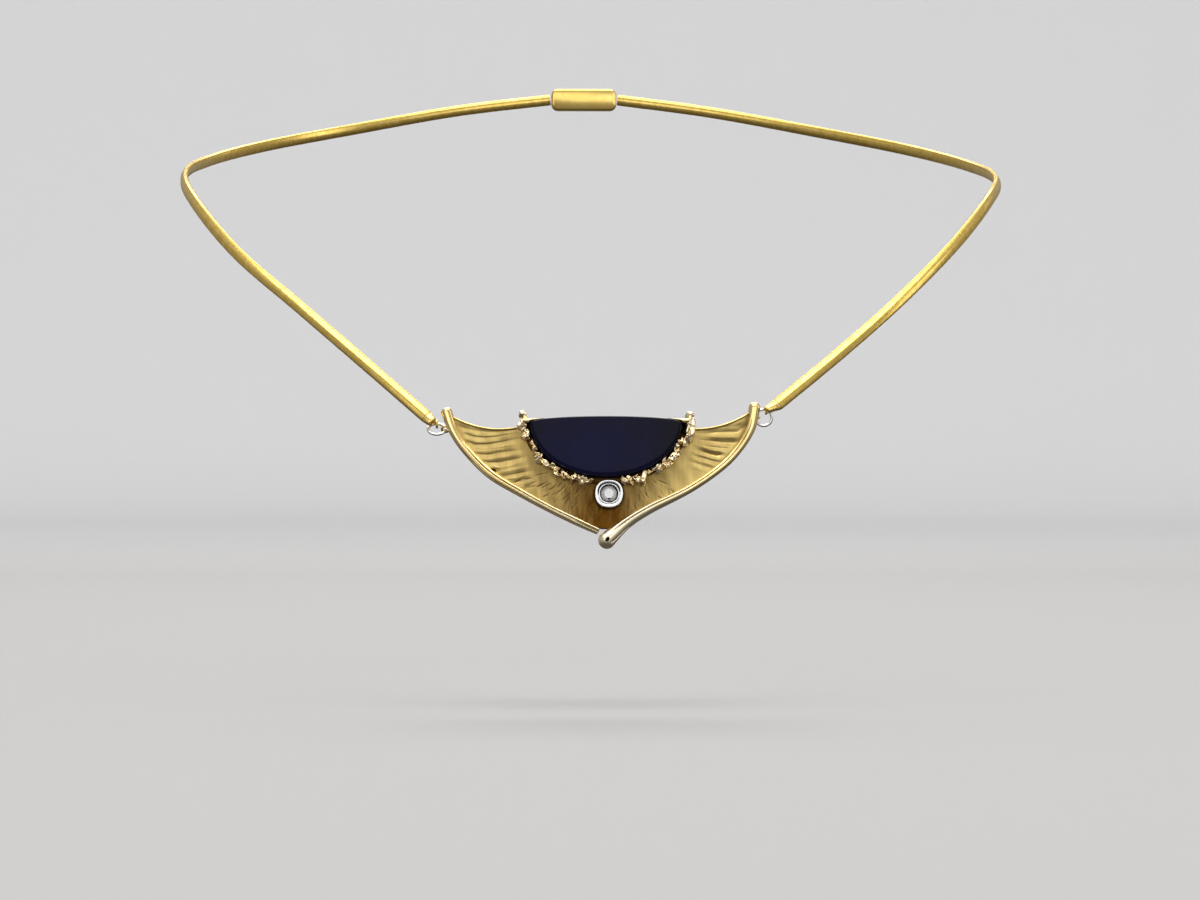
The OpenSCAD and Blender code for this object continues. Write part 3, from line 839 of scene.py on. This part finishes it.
def distanceAndPlace(points, line):
    # distance of each point from a polyline, with the side it lies on and its share of the run
    best = np.full(len(points), 1e9)
    hand = np.zeros(len(points))
    share = np.zeros(len(points))
    line = np.array(line)
    lengths = np.linalg.norm(np.diff(line, axis=0), axis=1)
    before = 0.0
    for a, b, size in zip(line[:-1], line[1:], lengths):
        d = (b - a) / size
        t = np.clip((points - a) @ d, 0, size)
        away = points - (a + t[:, None] * d)
        dist = np.linalg.norm(away, axis=1)
        nearer = dist < best
        best = np.where(nearer, dist, best)
        hand = np.where(nearer, np.sign(d[0] * away[:, 1] - d[1] * away[:, 0]), hand)
        share = np.where(nearer, (before + t) / lengths.sum(), share)
        before += size
    return best, hand, share


def drapeLine(place, t, sag=1):
    # at the shares t of one line from the stone to the rims
    x0, y0, x1, y1, deep = rowAt(drape["lines"], place)
    return np.stack([x0 + (x1 - x0) * t, y0 + (y1 - y0) * t - deep * sag * 4 * t * (1 - t)], -1)


def sheetForm(flat, t):
    # how high each point of the sheet lies and how much painted shade it carries
    x, y = flat.T
    last = len(drape["lines"]) - 1
    height = wingBack(x) + drape["front"] + drape["rise"] * (1 - t) ** 2
    shade = np.zeros(len(flat))
    for places, deep, width in drape["valleys"]:
        deep *= drape["valleyShare"]
        dist, hand, share = distanceAndPlace(flat, [seenAt(*p) for p in places])
        # each valley starts softly and mostly fades towards its inner end
        fade = ease(share, -0.05, 0.18) * (1 - ease(share, 0.6, 1.02) * 0.85)
        steep, slow = drape["valleySides"]
        wide = np.where(hand > 0, width * steep, width * slow)
        height -= deep * fade * np.exp(-np.abs(dist) / wide * 1.15)
        # a low crest beside it, and painted shade along its bottom
        height += deep * 0.35 * fade * bell(dist - width * 1.9, width * 0.9)
        shade += deep * 1.7 * fade * bell(dist, width * 0.32)
    # short fine creases that run down the lower part, with painted shade in them
    draw = random.Random(drape["creaseSeed"])
    for low, high, count in drape["creases"]:
        for i in range(count):
            k, start = draw.uniform(low, high), draw.uniform(0.25, 0.8)
            end, turned = min(start + draw.uniform(0.08, 0.24), 0.97), draw.uniform(-0.12, 0.12)
            dist, hand, share = distanceAndPlace(
                flat, [drapeLine(k, start, 0), drapeLine(k + turned, end, 0)])
            deep = draw.uniform(0.3, 1) * bell(dist, drape["creaseWide"])
            deep *= 0.4 + 0.6 * ease(share, 0, 0.3)
            height -= drape["creaseDeep"] * deep
            shade += 0.55 * deep
    # painted shadow where the wings run in under the rims, more so on the right
    shade += np.where(x > 0, 0.6, 0.35) * ease(np.abs(x), 8, 17) * ease(t, 0.86, 0.95)
    # a painted shadow ring round the collet
    acrossTo, upTo, reach = drape["colletShade"]
    shade += 0.8 * bell(np.hypot(x - acrossTo, y - upTo) - reach, 0.25)
    # a notch low in the left wing, with painted shade in it
    notch = np.hypot(*((flat - seenAt(*drape["notch"])) * (0.55, 1.1)).T)
    height -= drape["notchDeep"] * bell(notch, 0.26)
    shade += bell(notch, 0.28)
    for place in (0, last):
        dist = distanceAndPlace(flat, drapeLine(place, np.linspace(0, 1, 24)))[0]
        height += drape["lip"] * bell(dist - drape["lipWide"] / 2, drape["lipWide"] / 2)
    # soft unevenness of hand-raised sheet
    height += drape["handRaised"] * np.sin(x * 2.3 + y * 1.1) * ease(t, 0.05, 0.4)
    return height, shade


def makeSheet():
    columns, rows = drape["columns"], drape["rows"]
    ts, places = np.linspace(0, 1, rows), np.linspace(0, len(drape["lines"]) - 1, columns)
    flat = np.concatenate([drapeLine(place, ts) for place in places])
    (x, y), t, n = flat.T, np.tile(ts, columns), len(flat)
    height, shade = sheetForm(flat, t)
    faces = []
    for a in [i * rows + j for i in range(columns - 1) for j in range(rows - 1)]:
        b, c, d = a + 1, a + rows, a + rows + 1
        faces += [(a, b, d, c), (n + a, n + c, n + d, n + b)]
    edge = (list(range(rows)) + [i * rows + rows - 1 for i in range(1, columns)]
            + [(columns - 1) * rows + j for j in range(rows - 2, -1, -1)]
            + [i * rows for i in range(columns - 2, 0, -1)])
    faces += [(a, n + a, n + b, b) for a, b in zip(edge, edge[1:] + edge[:1])]
    points = [np.column_stack([flat, height - low]) for low in (0, drape["thick"])]
    sheet = makeMesh("drapedSheet", onPendant(np.concatenate(points)), faces)
    # painted brown shade in the hollow of the V and along the stone, crumpled below it
    (hollowX, hollowY), (wideV, highV) = seenAt(*drape["hollow"]), drape["hollowReach"]
    deepV = np.exp(-(((x - hollowX) / wideV) ** 2 + ((y - hollowY) / highV) ** 2))
    below = np.exp(-((x + 0.5) / 10.5) ** 2) * drape["brownShadeMiddle"]
    byStone = (1 - ease(t, 0.0, 0.5)) * drape["brownShadeByStone"]
    wing = ease(np.abs(x), 9, 20)
    browning = 1 - (1 - deepV) * (1 - below) * (1 - byStone * (1 - 0.35 * wing))
    away, reach = drape["crumpled"]
    crinkle = 0.1 + 0.9 * bell(np.abs(x + 0.5) - away, reach) * ease(t, 0.1, 0.5)
    pointValues(sheet, browning=np.tile(browning, 2), crinkle=np.tile(crinkle, 2),
                recess=np.tile(np.clip(shade, 0, 0.85), 2))
    ownPiece(sheet, drapeGold, "yellow_gold", "drape")


makeSheet()
print("draped sheet made")


# The half-moon stone and what it sits in
stone = {
    "at": (0.65, -0.55),
    "half": 11.75,
    "high": 8.4,
    "crown": 0.95,
    "thick": 1.9,
    "bevel": 0.45,
    "upperShare": 0.3,  # of the bevel, along the straight upper edge
    "gap": 0.06,
    "low": 0.96,
    "points": 128,
    "seatBack": -0.65,
    "seatFloor": 0.35,
    "seatHigh": 0.9,
    "seatFront": 1.1,
    "seatOut": 1.2,
    "seatIn": 1.3,
    "wedgeTop": 0.03,
    "wedgeLow": -0.62,
    "wedgeFront": 2.55,
    "wedgeBack": 0.9,
    "wedgeLong": 3.4,
    "wedgeSteps": 26,
    "wedgeClear": 0.08,  # between the wedge and the stone
}


def halfMoon(grow, n):
    # round the outline, anticlockwise from its left corner
    x0, y0 = stone["at"]
    half, deep, crown = stone["half"] + grow, stone["high"] + grow, stone["crown"]
    upper = crown + grow * stone["upperShare"]
    return [(x0 + half * cos(pi + a),
             y0 + (deep if sin(pi + a) <= 0 else upper) * sin(pi + a))
            for a in around(n)]


def makeStone():
    # a slab with a bevelled edge: how far out and how high each ring lies
    n, (x0, y0) = stone["points"], stone["at"]
    low, top, bevel = stone["low"], stone["low"] + stone["thick"], stone["bevel"]
    rings = [[(x, y, z) for x, y in halfMoon(grow, n)]
             for grow, z in ((-0.25, low), (-0.05, low + 0.08), (0, low + 0.22),
                             (0, top - bevel * 1.15), (-0.03, top - bevel),
                             (-bevel * 0.92, top - 0.06), (-bevel, top - 0.03),
                             (-bevel - 0.1, top))]
    # the polished face closes towards its middle
    for share in (0.985, 0.7, 0.4, 0.12):
        rings.append([(x0 + (x - x0) * share, y0 - 3.2 + (y - y0 + 3.2) * share, top)
                      for x, y in halfMoon(-bevel - 0.1, n)])
    slab = Builder().loft([onPendant(ring) for ring in rings]).object("halfMoonStone")
    ownPiece(crisp(slab, 32), darkBlueStone, "dark_stone", "half_moon_stone")


def makeSeat():
    # a half-moon band with a pocket behind, seen from the back and as the nuggets' ground
    n, (x0, y0) = 120, stone["at"]

    def levels(rows):
        # rings from rows of: how far out, how high, level of the upper edge
        rings = []
        for grow, z, top in rows:
            half, deep = stone["half"] + grow, stone["high"] + grow
            ring = [(x0 + half * cos(pi + a), y0 + deep * sin(pi + a), z)
                    for a in around(n)[1:n // 2]]
            edge = [(x0 + half * (1 - 4 * i / n), top, z) for i in range(n // 2)]
            rings.append(onPendant([(x0 - half, top, z)] + ring + edge))
        return rings

    out, inward = stone["seatOut"], -stone["seatIn"]
    back, front, high, floor = [stone["seat" + name] for name in ("Back", "Front", "High", "Floor")]
    build = Builder().loft(levels((
        (out - 0.12, back, -0.02), (out, back + 0.12, 0.05), (out, front - 0.25, 0.05),
        (out - 0.2, front - 0.04, -0.02), (0.12, front, -0.08), (0.08, high, -0.1),
        (-2, high, -0.9), (-2, floor, -0.9), (inward, floor, -0.8), (inward, back + 0.1, -0.8),
        (inward + 0.1, back, -0.75))), closed=True)
    # floor behind the stone
    build.loft(levels(((-1.9, floor + 0.02, -0.85), (-1.9, high - 0.02, -0.85))))
    # painted shade over the front of the ledge, full painted shade from its inner edge into the
    # pocket, and painted brown shade all over
    dark = np.zeros(len(build.points))
    dark[3 * n:6 * n] = 0.75
    dark[5 * n:] = 1
    pointValues(build.piece("stoneSeat", drapeGold, "yellow_gold"), recess=dark,
                browning=np.full(len(dark), 0.7), crinkle=np.full(len(dark), 0.5))


def makeShoulders():
    # slim wedges of gold over the stone's two shoulders, level along the top
    x0, y0 = stone["at"]
    clear = stone["wedgeClear"]
    half = stone["half"] + clear
    build = Builder()
    for hand in (-1, 1):
        rings = []
        for step in np.linspace(0, 1, stone["wedgeSteps"]):
            away = stone["half"] + 1.1 - stone["wedgeLong"] * step
            low = stone["wedgeLow"]
            if away < half:
                low = max(low, y0 + clear + stone["crown"] * sqrt(1 - (away / half) ** 2))
            top = max(stone["wedgeTop"], low + 0.02)
            front, back = stone["wedgeFront"] - 0.5 * step, stone["wedgeBack"]
            ring = [(x0 + hand * away, y, z) for y, z in (
                (low, back), (low, front - 0.05), (low + 0.01, front), (top - 0.01, front),
                (top, front - 0.06), (top, back))]
            rings.append(onPendant(ring[::hand]))
        build.loft(rings)
    build.piece("shoulderWedges", rimGold, "yellow_gold")


def offStone(p, near, far):
    # moves a place in or out until it lies between two outlines round the stone
    q = np.subtract(p, stone["at"])
    inner, outer = [hypot(q[0] / (stone["half"] + grow), q[1] / (stone["high"] + grow))
                    for grow in (near, far)]
    return np.array(stone["at"]) + q * (1 / inner if inner < 1 else 1 / max(outer, 1))


makeStone()
makeSeat()
makeShoulders()
print("stone and seat made")


# The border of small nuggets round the stone
nuggets = {
    "seed": 5,
    "kinds": 7,
    "flats": 11,
    "foot": 1.0,
    "furthest": 1.2,  # from the stone's edge to a nugget's middle
    "grown": 1.68,    # makes good what the flats cut off
    "tip": 0.3,       # radians, either way
    "lumpScale": 1500.0,
    "lumpHeight": 0.16,
    # across, up, long, wide, turn
    "places": [
        (-12.6, 0.4, 1.3, 0.8, 120), (-12.3, -1.0, 1.4, 1.1, 80), (-11.5, -2.0, 1.3, 0.7, 110),
        (-12.1, -2.7, 1.0, 0.7, 20), (-10.5, -4.0, 1.3, 0.7, 125), (-10.4, -5.0, 1.4, 0.7, 95),
        (-9.2, -5.5, 1.2, 0.8, 160), (-9.9, -6.3, 1.2, 0.8, 100), (-8.6, -6.9, 1.3, 0.9, 140),
        (-7.2, -7.5, 1.2, 0.7, 150), (-7.1, -8.5, 1.1, 0.8, 120), (-6.1, -8.8, 1.2, 0.7, 70),
        (-5.2, -8.9, 1.1, 0.8, 130), (-4.4, -9.4, 0.9, 0.6, 40), (-3.9, -8.9, 1.0, 0.7, 110),
        (-3.0, -9.5, 1.3, 0.9, 75), (-2.0, -9.6, 1.1, 0.6, 20), (3.2, -9.2, 1.2, 0.7, 110),
        (4.3, -9.5, 1.3, 0.9, 120), (5.4, -9.2, 1.1, 0.7, 140), (6.5, -8.9, 1.9, 0.7, 86),
        (7.6, -7.9, 1.6, 0.5, 35), (8.9, -7.7, 1.2, 0.8, 100), (9.8, -6.7, 1.5, 0.8, 60),
        (10.7, -6.9, 1.4, 0.8, 50), (11.4, -5.5, 1.5, 0.9, 50), (11.3, -4.5, 0.9, 0.7, 90),
        (12.2, -3.4, 1.0, 0.7, 10), (13.1, -3.6, 1.1, 0.8, 65), (13.4, -2.0, 2.6, 1.5, 86),
        (14.3, -1.6, 2.4, 1.8, 78), (14.6, -0.5, 1.6, 0.8, 80), (14.2, 0.5, 1.1, 0.9, 10),
    ],
}


def nuggetKinds():
    # pebbles of radius one, each cut by a few flats and worn round again
    draw = random.Random(nuggets["seed"])
    kinds = bpy.data.collections.new("nuggetKinds")
    bpy.context.scene.collection.children.link(kinds)
    for n in range(nuggets["kinds"]):
        flats = [(unit([draw.gauss(0, 1) for i in range(3)]), draw.uniform(0.5, 0.85))
                 for i in range(nuggets["flats"])]
        bm = bmesh.new()
        bmesh.ops.create_icosphere(bm, subdivisions=4, radius=1)
        for v in bm.verts:
            way = np.array(v.co.normalized())
            facing = [(away, way @ normal) for normal, away in flats if way @ normal > 0.05]
            v.co = Vector(way * min([1.0] + [away / f for away, f in facing]))
        bmesh.ops.smooth_vert(bm, verts=bm.verts, factor=0.4, use_axis_x=True, use_axis_y=True,
                              use_axis_z=True)
        mesh = bpy.data.meshes.new("nuggetKind" + str(n))
        bm.to_mesh(mesh)
        bm.free()
        kinds.objects.link(bpy.data.objects.new("nuggetKind" + str(n), mesh))
    return kinds


def nuggetTree():
    # pebbles on guide points, then roughened together so that neighbours flow into each other
    group, given, result = newGroup(
        "nuggetBorder", "GeometryNodeTree",
        {"Geometry": "Geometry", "Kinds": "Collection", "Lump scale": "Float",
         "Lump height": "Float", "Finish": "Material"}, {"Geometry": "Geometry"})
    kinds = geoNode(group, "CollectionInfo", {"Collection": given["Kinds"],
                                              "Separate Children": True, "Reset Children": True})
    spin = newNode(group, "FunctionNodeEulerToRotation", {"Euler": readBack(group, "lumpTurn")})
    place = geoNode(group, "InstanceOnPoints",
                    {"Points": given["Geometry"], "Instance": kinds, "Pick Instance": True,
                     "Instance Index": readBack(group, "lumpKind", "INT"), "Rotation": spin,
                     "Scale": readBack(group, "lumpSize")})
    real = geoNode(group, "RealizeInstances", {"Geometry": place})
    where = geoNode(group, "InputPosition")
    lump = reckon(group, "SUBTRACT", noise(group, where, given["Lump scale"], 1), 0.55)
    push = newNode(group, "VectorMath",
                   {"Vector": geoNode(group, "InputNormal"),
                    "Scale": reckon(group, "MULTIPLY", lump, given["Lump height"])},
                   operation="SCALE")
    move = geoNode(group, "SetPosition", {"Geometry": real, "Offset": push})
    smooth = geoNode(group, "SetShadeSmooth", {"Geometry": move})
    finish = geoNode(group, "SetMaterial", {"Geometry": smooth, "Material": given["Finish"]})
    fill(result, {"Geometry": finish})
    return group


def pendantTurn(spin, tipX, tipY):
    # Euler angles of a piece spun in the pendant's plane and tipped a little
    c, s = cos(radians(pendant["lean"])), sin(radians(pendant["lean"]))
    turned = (Matrix(((1, 0, 0), (0, s, -c), (0, c, s))) @ Matrix.Rotation(spin, 3, "Z")
              @ Matrix.Rotation(tipX, 3, "X") @ Matrix.Rotation(tipY, 3, "Y"))
    return tuple(turned.to_euler())


def makeNuggets():
    draw = random.Random(nuggets["seed"] + 1)
    (x0, y0), half, high = stone["at"], stone["half"], stone["high"]
    points, sizes, turns, kinds = [], [], [], []

    def heading(a):
        return np.array([cos(a), sin(a)])

    def lump(x, y, long, wide, tall, spin, foot):
        # its reach towards the stone keeps it off the stone
        away = unit([(x - x0) / half ** 2, (y - y0) / high ** 2])
        along = away @ heading(spin)
        reach = 1.15 * hypot(long * along, wide * sqrt(max(0, 1 - along * along)))
        reach += stone["gap"]
        spot = offStone((x, y), reach, max(nuggets["furthest"], reach))
        points.append(onPendant([*spot, foot + tall * 0.5]))
        sizes.append(np.array([long, wide, tall]) * nuggets["grown"])
        tipX, tipY = [draw.uniform(-nuggets["tip"], nuggets["tip"]) for i in range(2)]
        turns.append(pendantTurn(spin, tipX, tipY))
        kinds.append(draw.randrange(nuggets["kinds"]))

    # each nugget has a small lump at either end
    for x, y, long, wide, turn in nuggets["places"]:
        spin = radians(turn)
        along = heading(spin)
        across = np.array([-along[1], along[0]])
        lump(x, y, long * 0.5, wide * 0.5, draw.uniform(0.5, 0.66), spin, nuggets["foot"] - 0.1)
        for end in (-1, 1):
            small = draw.uniform(0.24, 0.34)
            spot = (np.array([x, y]) + along * end * (long * 0.5 - small * 0.5)
                    + across * draw.uniform(-0.22, 0.22))
            lump(*spot, small * draw.uniform(1, 1.4), small, draw.uniform(0.3, 0.5),
                 spin + draw.uniform(-1, 1), nuggets["foot"] + draw.uniform(0.1, 0.4))
    guide = guideOf("nuggetGuide", points, lumpSize=np.array(sizes) * mm, lumpTurn=turns)
    guide.data.attributes.new("lumpKind", "INT", "POINT").data.foreach_set("value", kinds)
    pebbles = nuggetKinds()
    made = runTree(guide, nuggetTree(), "nuggetBorder",
                   {"Kinds": pebbles, "Lump scale": nuggets["lumpScale"],
                    "Lump height": nuggets["lumpHeight"] * mm, "Finish": nuggetGold})
    for kind in list(pebbles.objects):
        bpy.data.objects.remove(kind)
    bpy.data.collections.remove(pebbles)
    return ownPiece(made, None, "yellow_gold")


border = makeNuggets()
print("nuggets made:", len(border.data.polygons), "faces")


# The white collet and its round stone
collet = {
    "at": (1.1, -11.6),
    "radius": 4.55 / 2,
    "stem": 1.85,
    "bore": 1.33,
    "back": -0.75,
    "seat": 0.5,
    "high": 1.95,
    "square": 0.05,
    "grooveTurn": 96,  # degrees, where the groove is open, and how deep it is there
    "grooveDeep": 0.3,
    "grooveEnds": (-0.25, 0.35),
    "around": 128,
}
diamond = {"radius": 1.27, "girdle": 1.35, "table": 0.57, "crown": 0.42, "pavilion": 1.05,
           "stars": (0.1, 0.3, 0.45, 0.2, 0.25, 0.05, 0.97, 0.1)}  # how dark each star facet looks


def makeCollet():
    (x0, y0), r, high = collet["at"], collet["radius"], collet["high"]
    stem, bore, back, seat = [collet[name] for name in ("stem", "bore", "back", "seat")]
    girdle = diamond["girdle"]
    # from the bore's foot round the outside: radius, height, share of the groove, painted shade
    profile = [(bore, back, 0, 0), (stem - 0.05, back, 0, 0), (stem, back + 0.05, 0, 0),
               (stem, seat, 0, 0.6), (r - 0.04, seat, 0, 1), (r, seat + 0.05, 0, 1),
               (r, high - 0.4, 0, 0.9), (r, high - 0.13, 0, 0), (r - 0.02, high - 0.06, 0, 0),
               (r - 0.05, high - 0.015, 0, 0), (r - 0.09, high, 0, 0), (r - 0.37, high, 0, 0),
               (r - 0.395, high - 0.02, 0, 0.1), (r - 0.41, high - 0.05, 1, 1),
               (r - 0.51, high - 0.08, 1, 1), (r - 0.61, high - 0.05, 1, 1),
               (r - 0.625, high - 0.02, 0, 0.1), (r - 0.65, high, 0, 0), (r - 0.83, high, 0, 0),
               (r - 0.85, high - 0.03, 0, 0.4), (r - 0.86, high - 0.1, 0, 1),
               (r - 0.88, high - 0.3, 0, 1), (1.31, girdle + 0.12, 0, 1),
               (bore, girdle + 0.08, 0, 1)]
    # the painted shade lies on the lower outer wall, in the groove where it is open, and down the
    # well to the stone
    rings, darks = [], []
    for radius, z, groove, dark in profile:
        # the collet's outside is a little squared
        square = collet["square"] if radius > 1.5 and z > seat - 0.01 else 0
        ring = []
        for a in around(collet["around"]):
            # the groove is open over the top and closes towards the bottom
            opens = float(ease(cos(a - radians(collet["grooveTurn"])), *collet["grooveEnds"]))
            wide = radius * (1 - square * (1 + cos(4 * a)) / 2)
            down = groove * collet["grooveDeep"] * opens
            ring.append((x0 + wide * cos(a), y0 + wide * sin(a), z - down))
            darks.append(dark * (opens if groove else 1))
        rings.append(onPendant(ring))
    obj = Builder().loft(rings, closed=True).object("roundCollet")
    pointValues(obj, recess=darks)
    ownPiece(obj, whiteGold, "white_gold", "diamond_setting")


def makeDiamond():
    # table, star, kite and girdle facets over two rows of pavilion facets
    r, g, crown, deep = [diamond[name] for name in ("radius", "girdle", "crown", "pavilion")]
    x0, y0 = collet["at"]

    def ring(radius, z, n, start):
        turns = [radians(start + 360 * j / n) for j in range(n)]
        return [(x0 + radius * cos(a), y0 + radius * sin(a), z) for a in turns]

    points = (ring(r * diamond["table"], g + crown, 8, 22.5) + ring(r * 0.8, g + crown * 0.52, 8, 0)
              + ring(r, g + 0.05, 16, 0) + ring(r, g, 16, 0)
              + ring(r * 0.42, g - deep * 0.6, 8, 11.25) + [(x0, y0, g - deep)])
    mid, upper, lower, keel, tip = 8, 16, 32, 48, 56
    faces, dims = [tuple(range(8))], [0.0]
    for j in range(8):
        before, after, star = (j - 1) % 8, (j + 1) % 8, diamond["stars"][j]
        m, nextMid, p, nextKeel = mid + j, mid + after, keel + j, keel + after
        a, b, c = 2 * j, 2 * j + 1, (2 * j + 2) % 16
        faces += [(before, m, j), (m, nextMid, j), (m, upper + a, upper + b),
                  (m, upper + b, nextMid), (nextMid, upper + b, upper + c),
                  (p, lower + b, lower + a), (p, nextKeel, lower + c, lower + b),
                  (p, tip, nextKeel)]
        dims += [star, star * 0.5, 0.75 if j == 6 else 0.3, 0.12, 0.75 if j == 5 else 0.2, 0, 0, 0]
    for j in range(16):
        k = (j + 1) % 16
        faces.append((lower + j, lower + k, upper + k, upper + j))
        dims.append(0.3)
    obj = makeMesh("roundStone", onPendant(points), faces, smooth=False)
    obj.data.attributes.new("dim", "FLOAT", "FACE").data.foreach_set("value", dims)
    ownPiece(obj, clearStone, "clear_stone", "diamond")


makeCollet()
makeDiamond()
print("collet and round stone made")


# The clasp at the nape
clasp = {"long": 12.0, "high": 4.0, "thick": 2.4, "corner": 1.2, "edge": 0.35}


def makeClasp():
    # one closed piece with rounded corners and eased edges
    half, top, corner = clasp["long"] / 2, clasp["high"] / 2, clasp["corner"]
    thick, edge = clasp["thick"], clasp["edge"]
    rings = []
    for inset, y in ((edge, 0), (0.1, 0.1), (0, edge), (0, thick - edge), (0.1, thick - 0.1),
                     (edge, thick)):
        ring = []
        for sx, sz, start in ((1, 1, 0), (-1, 1, 90), (-1, -1, 180), (1, -1, 270)):
            for a in [radians(start + 90 * i / 8) for i in range(9)]:
                ring.append((sx * (half - corner) + (corner - inset) * cos(a), y,
                             sz * (top - corner) + (corner - inset) * sin(a)))
        rings.append(ring[::-1])
    slab = Builder().loft(rings).object("plainClasp")
    ownPiece(crisp(slab, 60), claspGold, "yellow_gold", "clasp")


makeClasp()
print("clasp made")


# A round pale floor that sweeps up into a wall, soft boxes and a plain sky, in metres
middle = (0, -0.122, -0.065)
studio = {
    "low": -0.105,
    "middle": -0.06,
    "floorReach": 1.9,
    "wallHigh": 2.6,
    "wallTurn": 1.1,
    "nearTone": (0.41, 0.41, 0.415),
    "farTone": (0.78, 0.78, 0.79),
    "toneReach": (0.8, 2.3),
    # place, aim, width, height, watts and tint of each box
    "boxes": (("topBox", (0, -0.5, 1.05), middle, 1.3, 0.8, 12, (1, 0.98, 0.95)),
              ("frontBox", (0, -1.35, 0.25), middle, 2.4, 0.45, 4.1, (1, 0.99, 0.97)),
              ("rightBox", (1.15, -0.3, 0.33), middle, 0.3, 0.8, 1.2, (1, 0.98, 0.95)),
              ("backBox", (0, 0.75, 0.8), (0, 0, -0.02), 1.1, 0.6, 8, (1, 0.98, 0.95)),
              ("wallWash", (0, 0.7, 1.3), (0, 2.9, 1.1), 1.6, 1.6, 16, (1, 1, 1))),
    # from straight down (0) to straight up (1)
    "skyEnds": ((0.25, (0.14, 0.13, 0.115)), (1, (0.95, 0.95, 0.95))),
    "skyTones": ((0.4, 0.38), (0.52, 0.45), (0.8, 0.7)),
    "skyStrength": 0.7,
}
view = {"at": (-0.01717, -0.76886, -0.06466), "turn": (90, 0, -1.5), "lens": 125, "sensor": 36}


def makeStage():
    n, far, turn = 96, studio["floorReach"], studio["wallTurn"]
    rings = [(0.02, 0.0), (far * 0.5, 0.0), (far, 0.0)]
    for a in [radians(90 * i / 12) for i in range(1, 13)]:
        rings.append((far + turn * sin(a), turn * (1 - cos(a))))
    rings.append((far + turn, studio["wallHigh"]))
    points = [(reach * cos(a), reach * sin(a) + studio["middle"], studio["low"] + z)
              for reach, z in rings for a in around(n)]
    faces = [(i * n + j, i * n + n + j, i * n + n + (j + 1) % n, i * n + (j + 1) % n)
             for i in range(len(rings) - 1) for j in range(n)] + [tuple(range(n))]
    floor = makeMesh("paleFloor", np.array(points) / mm, faces)
    material, tree, shader = shaderTree("palePaper")
    place = placeOn(tree)
    away = newNode(tree, "VectorMath", {0: place}, operation="LENGTH")
    both = reckon(tree, "MULTIPLY_ADD", noise(tree, place, 3), 0.1, away)
    reach = between(tree, both, *studio["toneReach"], interpolation_type="SMOOTHSTEP")
    tone = toneRamp(tree, reach, (0, studio["nearTone"]), (1, studio["farTone"]))
    fill(shader, {"Base Color": tone, "Roughness": 0.9, "Specular IOR Level": 0.1})
    floor.data.materials.append(material)
    floor.visible_glossy = False


def makeLight():
    for name, spot, aim, wide, high, power, tint in studio["boxes"]:
        data = bpy.data.lights.new(name, "AREA")
        data.shape = "RECTANGLE"
        data.size, data.size_y = wide, high
        data.energy, data.color = power, tint
        box = inScene(bpy.data.objects.new(name, data))
        box.location = spot
        box.rotation_euler = (Vector(aim) - Vector(spot)).to_track_quat("-Z", "Y").to_euler()
        box.visible_camera = False
    world = bpy.data.worlds.new("studioWorld")
    bpy.context.scene.world = world
    world.use_nodes = True
    tree = world.node_tree
    split = newNode(tree, "SeparateXYZ", {"Vector": placeOn(tree, "Generated")})
    sky = [(level, (tone, tone * 0.985, tone * 0.96)) for level, tone in studio["skyTones"]]
    ramp = toneRamp(tree, between(tree, split.outputs["Z"], -1, 1), *studio["skyEnds"], *sky)
    fill(tree.nodes["Background"], {"Color": ramp, "Strength": studio["skyStrength"]})


def makeCamera():
    data = bpy.data.cameras.new("photoCamera")
    data.lens, data.sensor_width = view["lens"], view["sensor"]
    camera = inScene(bpy.data.objects.new("photoCamera", data))
    camera.location = view["at"]
    camera.rotation_euler = [radians(a) for a in view["turn"]]
    bpy.context.scene.camera = camera


makeStage()
makeLight()
makeCamera()
bpy.context.scene.view_settings.view_transform = "Standard"
print("stage, light and camera made")
